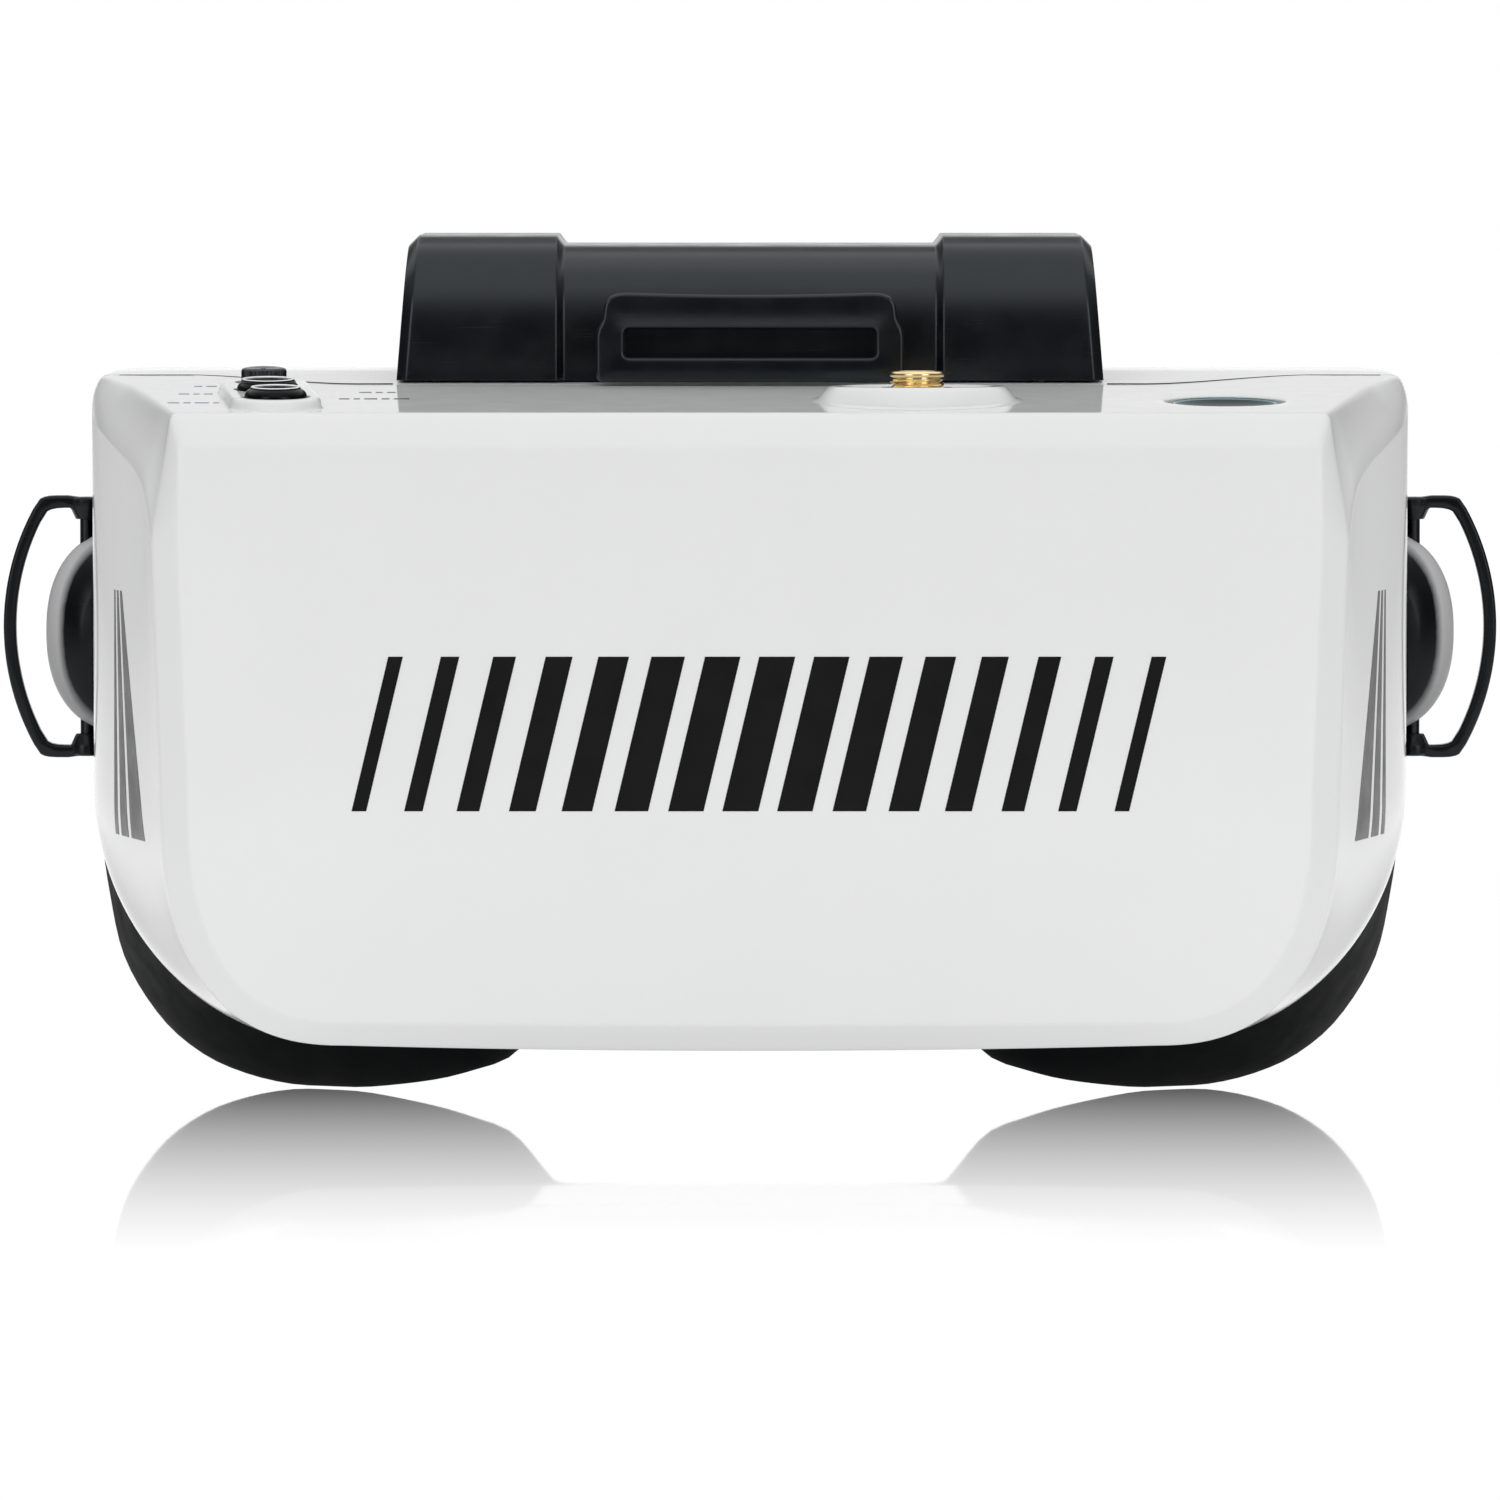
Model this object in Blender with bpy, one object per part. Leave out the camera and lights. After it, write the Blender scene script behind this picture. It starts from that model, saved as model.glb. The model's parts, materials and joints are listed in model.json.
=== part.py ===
"""FPV goggles, box type: one 4.3 inch panel seen through one large lens.

Frame: +Z up, +Y towards the wearer, +X to the right seen from the front.
The origin is on the resting plane, under the middle of the goggles.
Points are (x, depth, z) in millimetres; depth 0 is the front face and runs along +Y.
Left and right are as seen from the front: left is -X.
"""
import math

import bmesh
import bpy
from mathutils import Matrix, Vector

MM = 0.001
OVERALL_DEPTH = 126.0
DEPTH_0 = -OVERALL_DEPTH / 2    # y of depth 0
WALL = 2.0
GAP = 0.3                       # clearance between neighbouring pieces

# shell stations, as depths
BEVEL_DEPTH = 3.5
SEAM = 50.0                     # front shell to rear housing, at the sides
TONGUE = 38.0                   # the same seam where it runs forward round the battery hump
SWEEP_IN, SWEEP_OUT = 45.5, 67.0    # x range where the seam sweeps from one to the other
REAR_FRONT = SEAM + GAP
HOUSING_BACK = 80.0             # rear housing to face plate
PLATE_DEPTH = HOUSING_BACK + GAP
TOP_FRONT_Z, TOP_SEAM_Z = 84.3, 87.6
TOP_SLOPE = math.atan((TOP_SEAM_Z - TOP_FRONT_Z) / (SEAM - BEVEL_DEPTH))

# controls and antenna, as (x, depth) on the sloping top
BUTTON_FRONT, BUTTON_MIDDLE, DIAL = (-54.2, 9.0), (-55.4, 18.2), (-56.2, 27.2)
POWER = (54.6, 18.0)
ANTENNA = (19.2, 18.0)
BUTTON_R, POWER_R = 3.6, 6.6
# (label, place, radius of the hole in the shell)
SIDE_CONTROLS = [
    ("front", BUTTON_FRONT, BUTTON_R + GAP),
    ("middle", BUTTON_MIDDLE, BUTTON_R + GAP),
    ("dial", DIAL, 3.3),
]

# screws, as (x, z)
SHELL_SCREWS = [(side * 71.0, z) for side in (-1, 1) for z in (36.0, 68.0)]
PLATE_SCREWS = [(side * 70.6, z) for side in (-1, 1) for z in (44.0, 60.0)]
PILOT_R, CLEARANCE_R = 0.85, 1.25
SCREW_BLOCK_HALF = 2.8
LUG_BACK = 54.0

# opening for the battery in the roof of the rear housing
WELL_HALF, WELL_FRONT, WELL_BACK = 38.6, 41.6, 77.2

for obj in list(bpy.data.objects):
    bpy.data.objects.remove(obj, do_unlink=True)


# ---------------------------------------------------------------- materials
def material(name, color, roughness, metallic=0.0, alpha=1.0):
    made = bpy.data.materials.new(name)
    made.use_nodes = True
    inputs = made.node_tree.nodes["Principled BSDF"].inputs
    inputs["Base Color"].default_value = (*color, 1.0)
    inputs["Roughness"].default_value = roughness
    inputs["Metallic"].default_value = metallic
    inputs["Alpha"].default_value = alpha
    return made


WHITE = material("white_gloss", color=(0.88, 0.88, 0.89), roughness=0.15)
BLACK = material("black_satin", color=(0.02, 0.021, 0.024), roughness=0.42)
BLACK_IN = material("black_matt", color=(0.012, 0.012, 0.013), roughness=0.7)
FOAM = material("foam_fabric", color=(0.02, 0.02, 0.022), roughness=0.9)
HOOK = material("hook_tape", color=(0.03, 0.03, 0.03), roughness=0.95)
GOLD = material("gold_plate", color=(0.83, 0.6, 0.22), roughness=0.25, metallic=1.0)
STEEL = material("screw_steel", color=(0.45, 0.45, 0.46), roughness=0.35, metallic=1.0)
GLASS = material("lens_acrylic", color=(0.9, 0.95, 0.95), roughness=0.03, alpha=0.35)
PANEL = material("panel_black", color=(0.01, 0.01, 0.012), roughness=0.1)
BOARD = material("board_green", color=(0.02, 0.12, 0.05), roughness=0.45)
CAN = material("shield_can", color=(0.6, 0.6, 0.62), roughness=0.35, metallic=1.0)
CELL = material("cell_sleeve", color=(0.05, 0.2, 0.36), roughness=0.35)
NICKEL = material("nickel_spring", color=(0.65, 0.64, 0.6), roughness=0.3, metallic=1.0)
CABLE = material("cable_black", color=(0.02, 0.02, 0.02), roughness=0.5)
WIRE_RED = material("wire_red", color=(0.5, 0.02, 0.02), roughness=0.5)
FLEX = material("flex_amber", color=(0.45, 0.24, 0.05), roughness=0.35)
TEAL = material("button_teal", color=(0.06, 0.1, 0.12), roughness=0.25)


# ---------------------------------------------------------------- objects
def add(name, shape, finish, pivot=(0, 0, 0), smooth=40):
    """Object from a (points, faces) shape, with its origin on pivot.

    smooth is the angle in degrees above which edges stay sharp, 0 for flat shading.
    Without a finish the object is a helper for booleans, hidden in renders.
    """
    points, faces = shape
    mesh = bpy.data.meshes.new(name)
    mesh.from_pydata([[(p - o) * MM for p, o in zip(point, pivot)] for point in points], [], faces)
    bm = bmesh.new()
    bm.from_mesh(mesh)
    bmesh.ops.remove_doubles(bm, verts=bm.verts, dist=1e-6)
    bmesh.ops.recalc_face_normals(bm, faces=bm.faces)
    bm.to_mesh(mesh)
    bm.free()
    made = bpy.data.objects.new(name, mesh)
    made.location = (pivot[0] * MM, (pivot[1] + DEPTH_0) * MM, pivot[2] * MM)
    bpy.context.scene.collection.objects.link(made)
    if finish is None:
        made.hide_render = True
        made.display_type = "WIRE"
        return made
    mesh.materials.append(finish)
    if smooth:
        mesh.shade_smooth()
        mesh.set_sharp_from_angle(angle=math.radians(smooth))
    return made


def boolean(piece, operation, name, shape):
    helper = add(name, shape, None)
    modifier = piece.modifiers.new(f"{operation.lower()}_{len(piece.modifiers)}", "BOOLEAN")
    modifier.operation = operation
    modifier.solver = "EXACT"
    modifier.object = helper


def cut(piece, name, shape):
    boolean(piece, "DIFFERENCE", name, shape)


def join(piece, name, shape):
    boolean(piece, "UNION", name, shape)


# ---------------------------------------------------------------- shapes: (points, faces)
def loft(rings, closed=False, across=None):
    """Faces between rings of equal count, capped at the ends unless closed into a loop.

    across gives each ring's place from the outer edge to the inner one: its quads are then
    split along the same diagonal on every piece, so that stacked twisted faces stay parallel.
    """
    count = len(rings[0])
    points = [point for ring in rings for point in ring]
    faces = []
    pairs = [(k, k + 1) for k in range(len(rings) - 1)]
    if closed:
        pairs.append((len(rings) - 1, 0))
    for a, b in pairs:
        for i in range(count):
            j = (i + 1) % count
            ai, aj, bi, bj = a * count + i, a * count + j, b * count + i, b * count + j
            if across is None or across[a] is None or across[b] is None:
                faces.append((ai, aj, bj, bi))
            elif across[a] < across[b]:
                faces += [(ai, aj, bi), (aj, bj, bi)]
            else:
                faces += [(ai, aj, bj), (ai, bj, bi)]
    if not closed:
        faces.append(tuple(reversed(range(count))))
        faces.append(tuple(range(len(points) - count, len(points))))
    return points, faces


def block(x_span, depth_span, z_span):
    (x0, x1), (depth0, depth1) = x_span, depth_span
    return loft([
        [(x0, depth0, z), (x1, depth0, z), (x1, depth1, z), (x0, depth1, z)] for z in z_span])


def circle_xy(radius, i, sides, phase=0.0):
    angle = phase + 2 * math.pi * i / sides
    return radius * math.cos(angle), radius * math.sin(angle)


def turned(profile, sides, frame, phase=0.0):
    """Solid of revolution about the frame's Z. profile is (radius, height), low to high."""
    return loft([
        [tuple(frame @ Vector((*circle_xy(radius, i, sides, phase), height)))
         for i in range(sides)]
        for radius, height in profile])


def rod(radius, low, high, sides, frame):
    return turned([(radius, low), (radius, high)], sides, frame)


def at_depth(outline_xz, depth):
    return [(x, depth, z) for x, z in outline_xz]


def extruded(outline_xz, depths):
    return loft([at_depth(outline_xz, depth) for depth in depths])


# ---------------------------------------------------------------- lines and outlines
def to_side(points, side):
    """The points as they are for side 1, mirrored in x for side -1."""
    return [(side * x, *rest) for x, *rest in points]


def full(half):
    """Whole outline from its +x half, which starts and ends on the middle line."""
    return half + to_side(half[-2:0:-1], -1)


def straight(start, end, steps):
    """Evenly spaced points from start towards end, which is left out."""
    return [tuple(a + (b - a) * i / steps for a, b in zip(start, end)) for i in range(steps)]


def arc(corner, before, after, reach, steps):
    """steps + 1 points rounding the corner between its two neighbours."""
    corner, before, after = Vector(corner), Vector(before), Vector(after)
    ends = []
    for neighbour in (before, after):
        away = neighbour - corner
        ends.append(corner + away.normalized() * min(reach, away.length * 0.45))
    start, end = ends
    return [tuple(start * (1 - t) ** 2 + corner * 2 * t * (1 - t) + end * t * t)
            for t in (i / steps for i in range(steps + 1))]


def capsule(start, end, radius, steps=7):
    """Outline round two centres in plan."""
    heading = math.atan2(end[1] - start[1], end[0] - start[0])
    points = []
    for centre, first in ((end, heading - math.pi / 2), (start, heading + math.pi / 2)):
        for i in range(steps + 1):
            angle = first + math.pi * i / steps
            points.append((centre[0] + radius * math.cos(angle),
                           centre[1] + radius * math.sin(angle)))
    return points


def circle(centre, radius, sides=28):
    """Circle in plan."""
    offsets = [circle_xy(radius, i, sides) for i in range(sides)]
    return [(centre[0] + x, centre[1] + y) for x, y in offsets]


def rect_ring(half_width, z0, z1, radius, depth, steps=4):
    """Corner-rounded rectangle about x = 0, at one depth."""
    x_in, z_in, z_mid = half_width - radius, (z1 - z0) / 2 - radius, (z0 + z1) / 2
    points = []
    for side_x, side_z, first in ((1, 1, 0), (-1, 1, 90), (-1, -1, 180), (1, -1, 270)):
        for i in range(steps + 1):
            angle = math.radians(first + 90 * i / steps)
            points.append((side_x * x_in + radius * math.cos(angle), depth,
                           z_mid + side_z * z_in + radius * math.sin(angle)))
    return points


def inset_outline(points, distance):
    """Clockwise closed outline moved inwards, along vertex normals."""
    moved = []
    for i in range(len(points)):
        before, here, after = (Vector(points[k % len(points)]) for k in (i - 1, i, i + 1))
        coming, going = (here - before).normalized(), (after - here).normalized()
        normal = Vector((coming.y, -coming.x)) + Vector((going.y, -going.x))
        normal = normal / max(normal.length_squared, 0.6) * 2
        moved.append(tuple(here + normal * distance))
    return moved


def curve_through(points, steps):
    """Catmull-Rom curve through the points, with steps points to each span."""
    knots = [Vector(point) for point in points]
    knots = [knots[0] * 2 - knots[1]] + knots + [knots[-1] * 2 - knots[-2]]
    curve = []
    for a, b, c, e in zip(knots, knots[1:], knots[2:], knots[3:]):
        for k in range(steps):
            t = k / steps
            curve.append(0.5 * (2 * b + (c - a) * t + (2 * a - 5 * b + 4 * c - e) * t * t
                                + (3 * b - a - 3 * c + e) * t**3))
    curve.append(knots[-2])
    return curve


def spline(points, steps):
    """steps + 1 evenly spaced points on a smooth curve, first and last included."""
    fine = curve_through(points, 12)
    run = [0.0]
    for start, end in zip(fine, fine[1:]):
        run.append(run[-1] + (end - start).length)
    even = []
    k = 0
    for i in range(steps + 1):
        wanted = run[-1] * i / steps
        while k < len(run) - 2 and run[k + 1] < wanted:
            k += 1
        t = (wanted - run[k]) / (run[k + 1] - run[k])
        even.append(tuple(fine[k].lerp(fine[k + 1], min(max(t, 0), 1))))
    return even


def smooth_line(table, x):
    """Monotone cubic through the table's (x, value) rows, flat outside it."""
    if x <= table[0][0]:
        return table[0][1]
    if x >= table[-1][0]:
        return table[-1][1]
    spans = [after[0] - before[0] for before, after in zip(table, table[1:])]
    slopes = [(table[i + 1][1] - table[i][1]) / span for i, span in enumerate(spans)]
    tangents = [slopes[0]]
    for before, after in zip(slopes, slopes[1:]):
        turns_back = before * after <= 0
        tangents.append(0 if turns_back else 2 * before * after / (before + after))
    tangents.append(slopes[-1])
    i = max(k for k in range(len(spans)) if table[k][0] <= x)
    t = (x - table[i][0]) / spans[i]
    return ((2 * t**3 - 3 * t**2 + 1) * table[i][1]
            + (t**3 - 2 * t**2 + t) * spans[i] * tangents[i]
            + (-2 * t**3 + 3 * t**2) * table[i + 1][1]
            + (t**3 - t**2) * spans[i] * tangents[i + 1])


# ---------------------------------------------------------------- shell outline
# steps along each run of a half outline
TOP_STEPS, EDGE_STEPS, FACET_STEPS, FACET_ROUND_STEPS = 3, 1, 2, 2
SIDE_STEPS, CORNER_STEPS, UNDER_STEPS = 3, 8, 3

# (depth, value) rows; the edge is where the top meets the corner facet
EDGE_X = [(BEVEL_DEPTH, 66.0), (8, 66.8), (21, 68.9), (35, 71.6), (41, 73.7), (46, 75.4),
          (SEAM, 76.2), (56, 75.4), (66, 73.2), (HOUSING_BACK, 71.0)]
FACET_Z = [(BEVEL_DEPTH, 70.0), (5.6, 72.2), (8.8, 76.0), (14.2, 78.5), (23.2, 80.6),
           (34.5, 82.6), (46, 84.2), (SEAM, 85.0), (60, 84.0), (HOUSING_BACK, 81.0)]
SIDE_X = [(BEVEL_DEPTH, 68.2), (SEAM, 77.1), (62, 77.4), (HOUSING_BACK, 76.9)]
TOP_Z = [(BEVEL_DEPTH, TOP_FRONT_Z), (SEAM, TOP_SEAM_Z), (60, 88.1), (68, 88.1),
         (HOUSING_BACK, 86.8)]
LOW_Z = [(BEVEL_DEPTH, 12.0), (SEAM, 10.5), (HOUSING_BACK, 10.5)]
# lower corner: width, height and the power of its squarish curve
CORNER_WIDTH = [(BEVEL_DEPTH, 21.3), (SEAM, 26.0), (HOUSING_BACK, 27.0)]
CORNER_HEIGHT = [(BEVEL_DEPTH, 28.0), (SEAM, 29.0), (HOUSING_BACK, 31.0)]
CORNER_POWER = [(BEVEL_DEPTH, 2.5), (SEAM, 2.0), (HOUSING_BACK, 2.0)]


def top_z(depth):
    if depth < SEAM:
        return TOP_FRONT_Z + (depth - BEVEL_DEPTH) * math.tan(TOP_SLOPE)
    return smooth_line(TOP_Z, depth)


def shell_section(roof_z, edge_x, facet, side_x, low_z, sag, corner, power,
                  edge_round, facet_round):
    """Outline from the top middle clockwise, by +x, the bottom middle and -x.

    facet is the (x, z) foot of the corner facet, corner the (width, height) of the lower
    corner and sag how far the underside drops in the middle.
    """
    corner_x, corner_z = side_x - corner[0], low_z + corner[1]
    middle, edge, side_end = (0.0, roof_z), (edge_x, roof_z), (side_x, corner_z)
    edge_arc = arc(edge, middle, facet, edge_round, EDGE_STEPS)
    facet_arc = arc(facet, edge, side_end, facet_round, FACET_ROUND_STEPS)
    half = straight(middle, edge_arc[0], TOP_STEPS)
    half += edge_arc[:-1]
    half += straight(edge_arc[-1], facet_arc[0], FACET_STEPS)
    half += facet_arc[:-1]
    half += straight(facet_arc[-1], side_end, SIDE_STEPS)
    for i in range(CORNER_STEPS):
        angle = math.pi / 2 * i / CORNER_STEPS
        half.append((corner_x + corner[0] * math.cos(angle) ** (2 / power),
                     corner_z - corner[1] * math.sin(angle) ** (2 / power)))
    for i in range(UNDER_STEPS + 1):
        x = corner_x * (1 - i / UNDER_STEPS)
        half.append((x, low_z - sag * (1 - (x / corner_x) ** 2)))
    return full(half)


def outline(depth, inset=0.0):
    """Section of the shell at one depth, moved in by inset."""
    side_x = smooth_line(SIDE_X, depth)
    lean = max(0.0, 1 - (depth - BEVEL_DEPTH) / (SEAM - BEVEL_DEPTH))
    return shell_section(
        roof_z=top_z(depth) - inset,
        edge_x=smooth_line(EDGE_X, depth) - inset * 0.35,
        facet=(side_x + 0.15 * (1 - lean) - inset, smooth_line(FACET_Z, depth) - inset * 0.4),
        side_x=side_x - lean - inset,
        low_z=smooth_line(LOW_Z, depth) + inset,
        sag=0.6,
        corner=(smooth_line(CORNER_WIDTH, depth) - inset,
                smooth_line(CORNER_HEIGHT, depth) - inset),
        power=smooth_line(CORNER_POWER, depth),
        edge_round=1.0, facet_round=1.6,
    )


def face_outline(inset=0.0):
    """Outline of the flat front face, moved in by inset."""
    return shell_section(
        roof_z=80.5 - inset,
        edge_x=65.0 - inset * 0.5,
        facet=(65.1 - inset, 70.0 - inset * 0.3),
        side_x=63.9 - inset,
        low_z=14.85 + inset,
        sag=0.3,
        corner=(18.0 - inset, 25.0 - inset),
        power=2.5,
        edge_round=1.2, facet_round=2.0,
    )


def section_rings(depths, inset=0.0):
    return [at_depth(outline(depth, inset), depth) for depth in depths]


def bevel_rings(fractions):
    """The bevel round the flat front, from the face (0) to the first full section (1).

    Along the top it starts at a crease and runs smoothly into the top; below it is straight.
    """
    face, section = face_outline(), outline(BEVEL_DEPTH)
    top_count = TOP_STEPS + EDGE_STEPS
    fade = FACET_STEPS + FACET_ROUND_STEPS * 0.5
    rings = []
    for t in fractions:
        ring = []
        for i, (start, end) in enumerate(zip(face, section)):
            from_top = min(i, len(face) - i)
            curved = min(1.0, max(0.0, 1 - (from_top - top_count) / fade))
            out = curved * t * (2 - t) + (1 - curved) * t
            back = curved * t * (1.2 - 0.2 * t) + (1 - curved) * t
            ring.append((start[0] + out * (end[0] - start[0]), BEVEL_DEPTH * back,
                         start[1] + out * (end[1] - start[1])))
        rings.append(ring)
    return rings


# ---------------------------------------------------------------- frames for turned shapes
def on_top(x, depth):
    """Frame standing square on the sloping top of the front shell."""
    return Matrix.Translation((x, depth, top_z(depth))) @ Matrix.Rotation(TOP_SLOPE, 4, "X")


def upright(x, depth, z=0):
    return Matrix.Translation((x, depth, z))


def along_depth(x, z, depth=0):
    """Local +Z points along +depth."""
    return Matrix.Translation((x, depth, z)) @ Matrix.Rotation(-math.pi / 2, 4, "X")


def along_x(x, depth, z):
    """Local +Z points along +x."""
    return Matrix.Translation((x, depth, z)) @ Matrix.Rotation(math.pi / 2, 4, "Y")


def on_slope(plan, height):
    """Ring over an (x, depth) plan, height above the shell's top."""
    return [(x, depth, top_z(depth) + height) for x, depth in plan]


# ---------------------------------------------------------------- front shell
def seam_plan(grow, reach_back):
    """Plan of the tongue: swept sides, squared off reach_back behind the side seam."""
    right = []
    for i in range(9):
        t = i / 8
        x = SWEEP_IN + (SWEEP_OUT - SWEEP_IN) * t
        depth = TONGUE + (SEAM - TONGUE) * (3 * t * t - 2 * t**3)
        right.append((x + grow, depth - grow))
    right.append((SWEEP_OUT + grow, SEAM + reach_back))
    return right + to_side(right[::-1], -1)


def screw_mounts(piece, label, screws, wall_x, depths, hole_r, hole_depths):
    """Blocks between the screw lines and the side walls, each with its screw hole."""
    for k, (x, z) in enumerate(screws):
        x_span = (x - SCREW_BLOCK_HALF, wall_x) if x > 0 else (-wall_x, x + SCREW_BLOCK_HALF)
        z_span = (z - SCREW_BLOCK_HALF, z + SCREW_BLOCK_HALF)
        join(piece, f"{label}_{k}", block(x_span, depths, z_span))
        cut(piece, f"cut_{label}_{k}", rod(hole_r, *hole_depths, 12, along_depth(x, z)))


# (radius, height above the sloping top) of the raised pad under buttons and dial
CONTROL_PAD = [(5.3, -1.2), (5.1, 0.9), (4.7, 1.3)]
# antenna boss: (radius, height above the sloping top), then (radius, z) of the level crown
ANTENNA_BOSS_FOOT = [(12.0, -1.2), (12.0, 0.02)]
ANTENNA_BOSS_CROWN = [(10.3, 86.5), (9.9, 87.0), (8.7, 87.0), (8.3, 85.5)]
POWER_HOLE = [(POWER_R + GAP, -4.0), (POWER_R + GAP, -0.45), (7.6, 0.02), (7.6, 1.5)]


def antenna_boss():
    rings = [on_slope(circle(ANTENNA, radius), height) for radius, height in ANTENNA_BOSS_FOOT]
    rings += [[(x, depth, z) for x, depth in circle(ANTENNA, radius)]
              for radius, z in ANTENNA_BOSS_CROWN]
    return loft(rings)


def build_front_shell():
    outer = bevel_rings([0, 0.34, 0.67, 1.0]) + section_rings((8, 15, 24, 34, 43, SEAM))
    inner = section_rings((SEAM, 34, 15, 4.6), WALL) + [at_depth(face_outline(1.6), 2.2)]
    shell = add("front_shell", loft(outer + inner), WHITE)
    # the tongue of the rear housing comes forward into this notch
    notch = seam_plan(0.0, 6)
    cut(shell, "cut_notch", loft([[(x, depth, z) for x, depth in notch] for z in (80.0, 95.0)]))
    join(shell, "boss_controls", loft([
        on_slope(capsule(BUTTON_FRONT, DIAL, radius), height) for radius, height in CONTROL_PAD]))
    join(shell, "boss_antenna", antenna_boss())
    for label, place, radius in SIDE_CONTROLS:
        cut(shell, f"cut_{label}", rod(radius, -4.0, 3.0, 20, on_top(*place)))
    cut(shell, "cut_power", turned(POWER_HOLE, 28, on_top(*POWER)))
    cut(shell, "cut_antenna", rod(3.35, 80.0, 90.0, 20, upright(*ANTENNA)))
    # posts that take the screws holding the two shells together
    screw_mounts(shell, "post", SHELL_SCREWS, 74.2, (40, SEAM), PILOT_R, (42, 52))


build_front_shell()


# ---------------------------------------------------------------- rear housing
def build_rear_housing():
    rings = section_rings((REAR_FRONT, 56, 62, 70, HOUSING_BACK))
    rings += section_rings((HOUSING_BACK, 62, REAR_FRONT), WALL)
    housing = add("rear_housing", loft(rings, closed=True), WHITE)
    tongue = seam_plan(-GAP, 3.0)
    join(housing, "add_tongue", loft([on_slope(tongue, height) for height in (-WALL, 0.03)]))
    cut(housing, "cut_battery",
        block((-WELL_HALF, WELL_HALF), (WELL_FRONT, WELL_BACK), (70.0, 95.0)))
    screw_mounts(housing, "lug", SHELL_SCREWS, 76.2, (REAR_FRONT, LUG_BACK),
                 CLEARANCE_R, (45, 60))
    screw_mounts(housing, "block", PLATE_SCREWS, 76.2, (68, HOUSING_BACK), PILOT_R, (70, 85))


build_rear_housing()

# ---------------------------------------------------------------- face plate
# half outlines as (x, z), in three runs: over the top, down the side, along the bottom
RUN_STEPS = (5, 4, 13)
PLATE_FRONT = (
    [(0, 86.2), (58, 86.2), (67, 85.4), (72.6, 82.0)],
    [(72.6, 82.0), (75.4, 78.0), (76.5, 66), (76.5, 41)],
    [(76.5, 41), (75.3, 29), (70, 19), (60, 12.6), (48, 10.6), (25, 10.0), (0, 10.0)],
)
PLATE_RIM = (
    [(0, 84), (30, 84), (56, 82.5), (70, 77)],
    [(70, 77), (77, 69), (79.8, 55), (79.8, 38)],
    [(79.8, 38), (79.5, 30), (78.6, 23), (76.6, 14.6), (72.0, 7.6), (66.8, 3.5), (61.5, 1.3),
     (56, 0.15), (51, 0.0), (46, 0.15), (38.5, 1.3), (33.6, 2.6), (28.6, 4.6), (24.4, 9.6),
     (20, 14.6), (12, 18.6), (0, 20.0)],
)
PLATE_EYE = (
    [(0, 72), (30, 72), (48, 71), (59, 66.5)],
    [(59, 66.5), (65.5, 60), (67.5, 52), (67.5, 38)],
    [(67.5, 38), (66, 28), (61, 19), (54, 13.5), (46, 12), (39, 14), (33, 19), (27, 25),
     (18, 29.5), (9, 31.5), (0, 32)],
)
PLATE_OPEN = (
    [(0, 76), (40, 76), (56, 74.5), (62, 70)],
    [(62, 70), (63.5, 64), (64, 52), (64, 38)],
    [(64, 38), (63, 28), (58, 20), (50, 17.5), (36, 17.5), (20, 17.5), (0, 17.5)],
)
# (x, depth) of the rim, over the top and sides and along the bottom
RIM_TOP_DEPTH = [(0, 99), (30, 101), (56, 108), (70, 114), (79.8, 118)]
RIM_LOW_DEPTH = [(0, 98), (12, 95), (22, 92), (29, 90.5), (36, 92), (45, 97), (51, 100.5),
                 (66, 107), (77, 116), (79.8, 118)]
# fractions of the way across the rim, and the drop of its inner lip and of the inner wall
RIM_PLACES = [0.0, 0.18, 0.5, 0.82, 0.97]
RIM_THICKNESS = 1.8


def form(runs):
    """Whole outline from three runs of points."""
    top, side, low = (spline(run, steps) for run, steps in zip(runs, RUN_STEPS))
    return full(top[:-1] + side[:-1] + low)


def rim_depths(rim):
    depths = []
    for i, (x, _) in enumerate(rim):
        over_top = min(i, len(rim) - i) < RUN_STEPS[0] + RUN_STEPS[1]
        depths.append(smooth_line(RIM_TOP_DEPTH if over_top else RIM_LOW_DEPTH, abs(x)))
    return depths


def rim_ring(place, behind):
    """Ring on the rim, a fraction of the way in from its outer edge, some way behind it."""
    rim, eye = form(PLATE_RIM), form(PLATE_EYE)
    return [(a[0] + place * (b[0] - a[0]), depth + behind, a[1] + place * (b[1] - a[1]))
            for a, b, depth in zip(rim, eye, rim_depths(rim))]


def wall_ring(t, inset=0.0, forward=0.0):
    """Ring on the face plate wall: t = 0 at the housing, 1 at the rim."""
    front, rim = form(PLATE_FRONT), form(PLATE_RIM)
    ease = t * t * (3 - 2 * t) * 0.6 + t * 0.4
    points = [(a[0] + ease * (b[0] - a[0]), a[1] + ease * (b[1] - a[1]))
              for a, b in zip(front, rim)]
    if inset:
        points = inset_outline(points, inset)
    return [(x, PLATE_DEPTH + t * (depth - PLATE_DEPTH) - forward, z)
            for (x, z), depth in zip(points, rim_depths(rim))]


def build_face_plate():
    wall = [wall_ring(t) for t in (0, 0.2, 0.45, 0.7, 0.92)]
    rim = [rim_ring(place, 0.0) for place in RIM_PLACES]
    inside = [rim_ring(RIM_PLACES[-1], -RIM_THICKNESS)]
    inside += [wall_ring(t, WALL, RIM_THICKNESS) for t in (0.96, 0.6)]
    inside.append(wall_ring(0.0, WALL, -WALL))
    inside += [at_depth(form(PLATE_OPEN), depth) for depth in (PLATE_DEPTH + WALL, PLATE_DEPTH)]
    places = [None] * len(wall) + RIM_PLACES + [None] * len(inside)
    plate = add("face_plate", loft(wall + rim + inside, closed=True, across=places), BLACK)
    for k, (x, z) in enumerate(PLATE_SCREWS):
        cut(plate, f"cut_plate_{k}", rod(CLEARANCE_R, 70, 84, 12, along_depth(x, z)))


build_face_plate()

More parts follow.
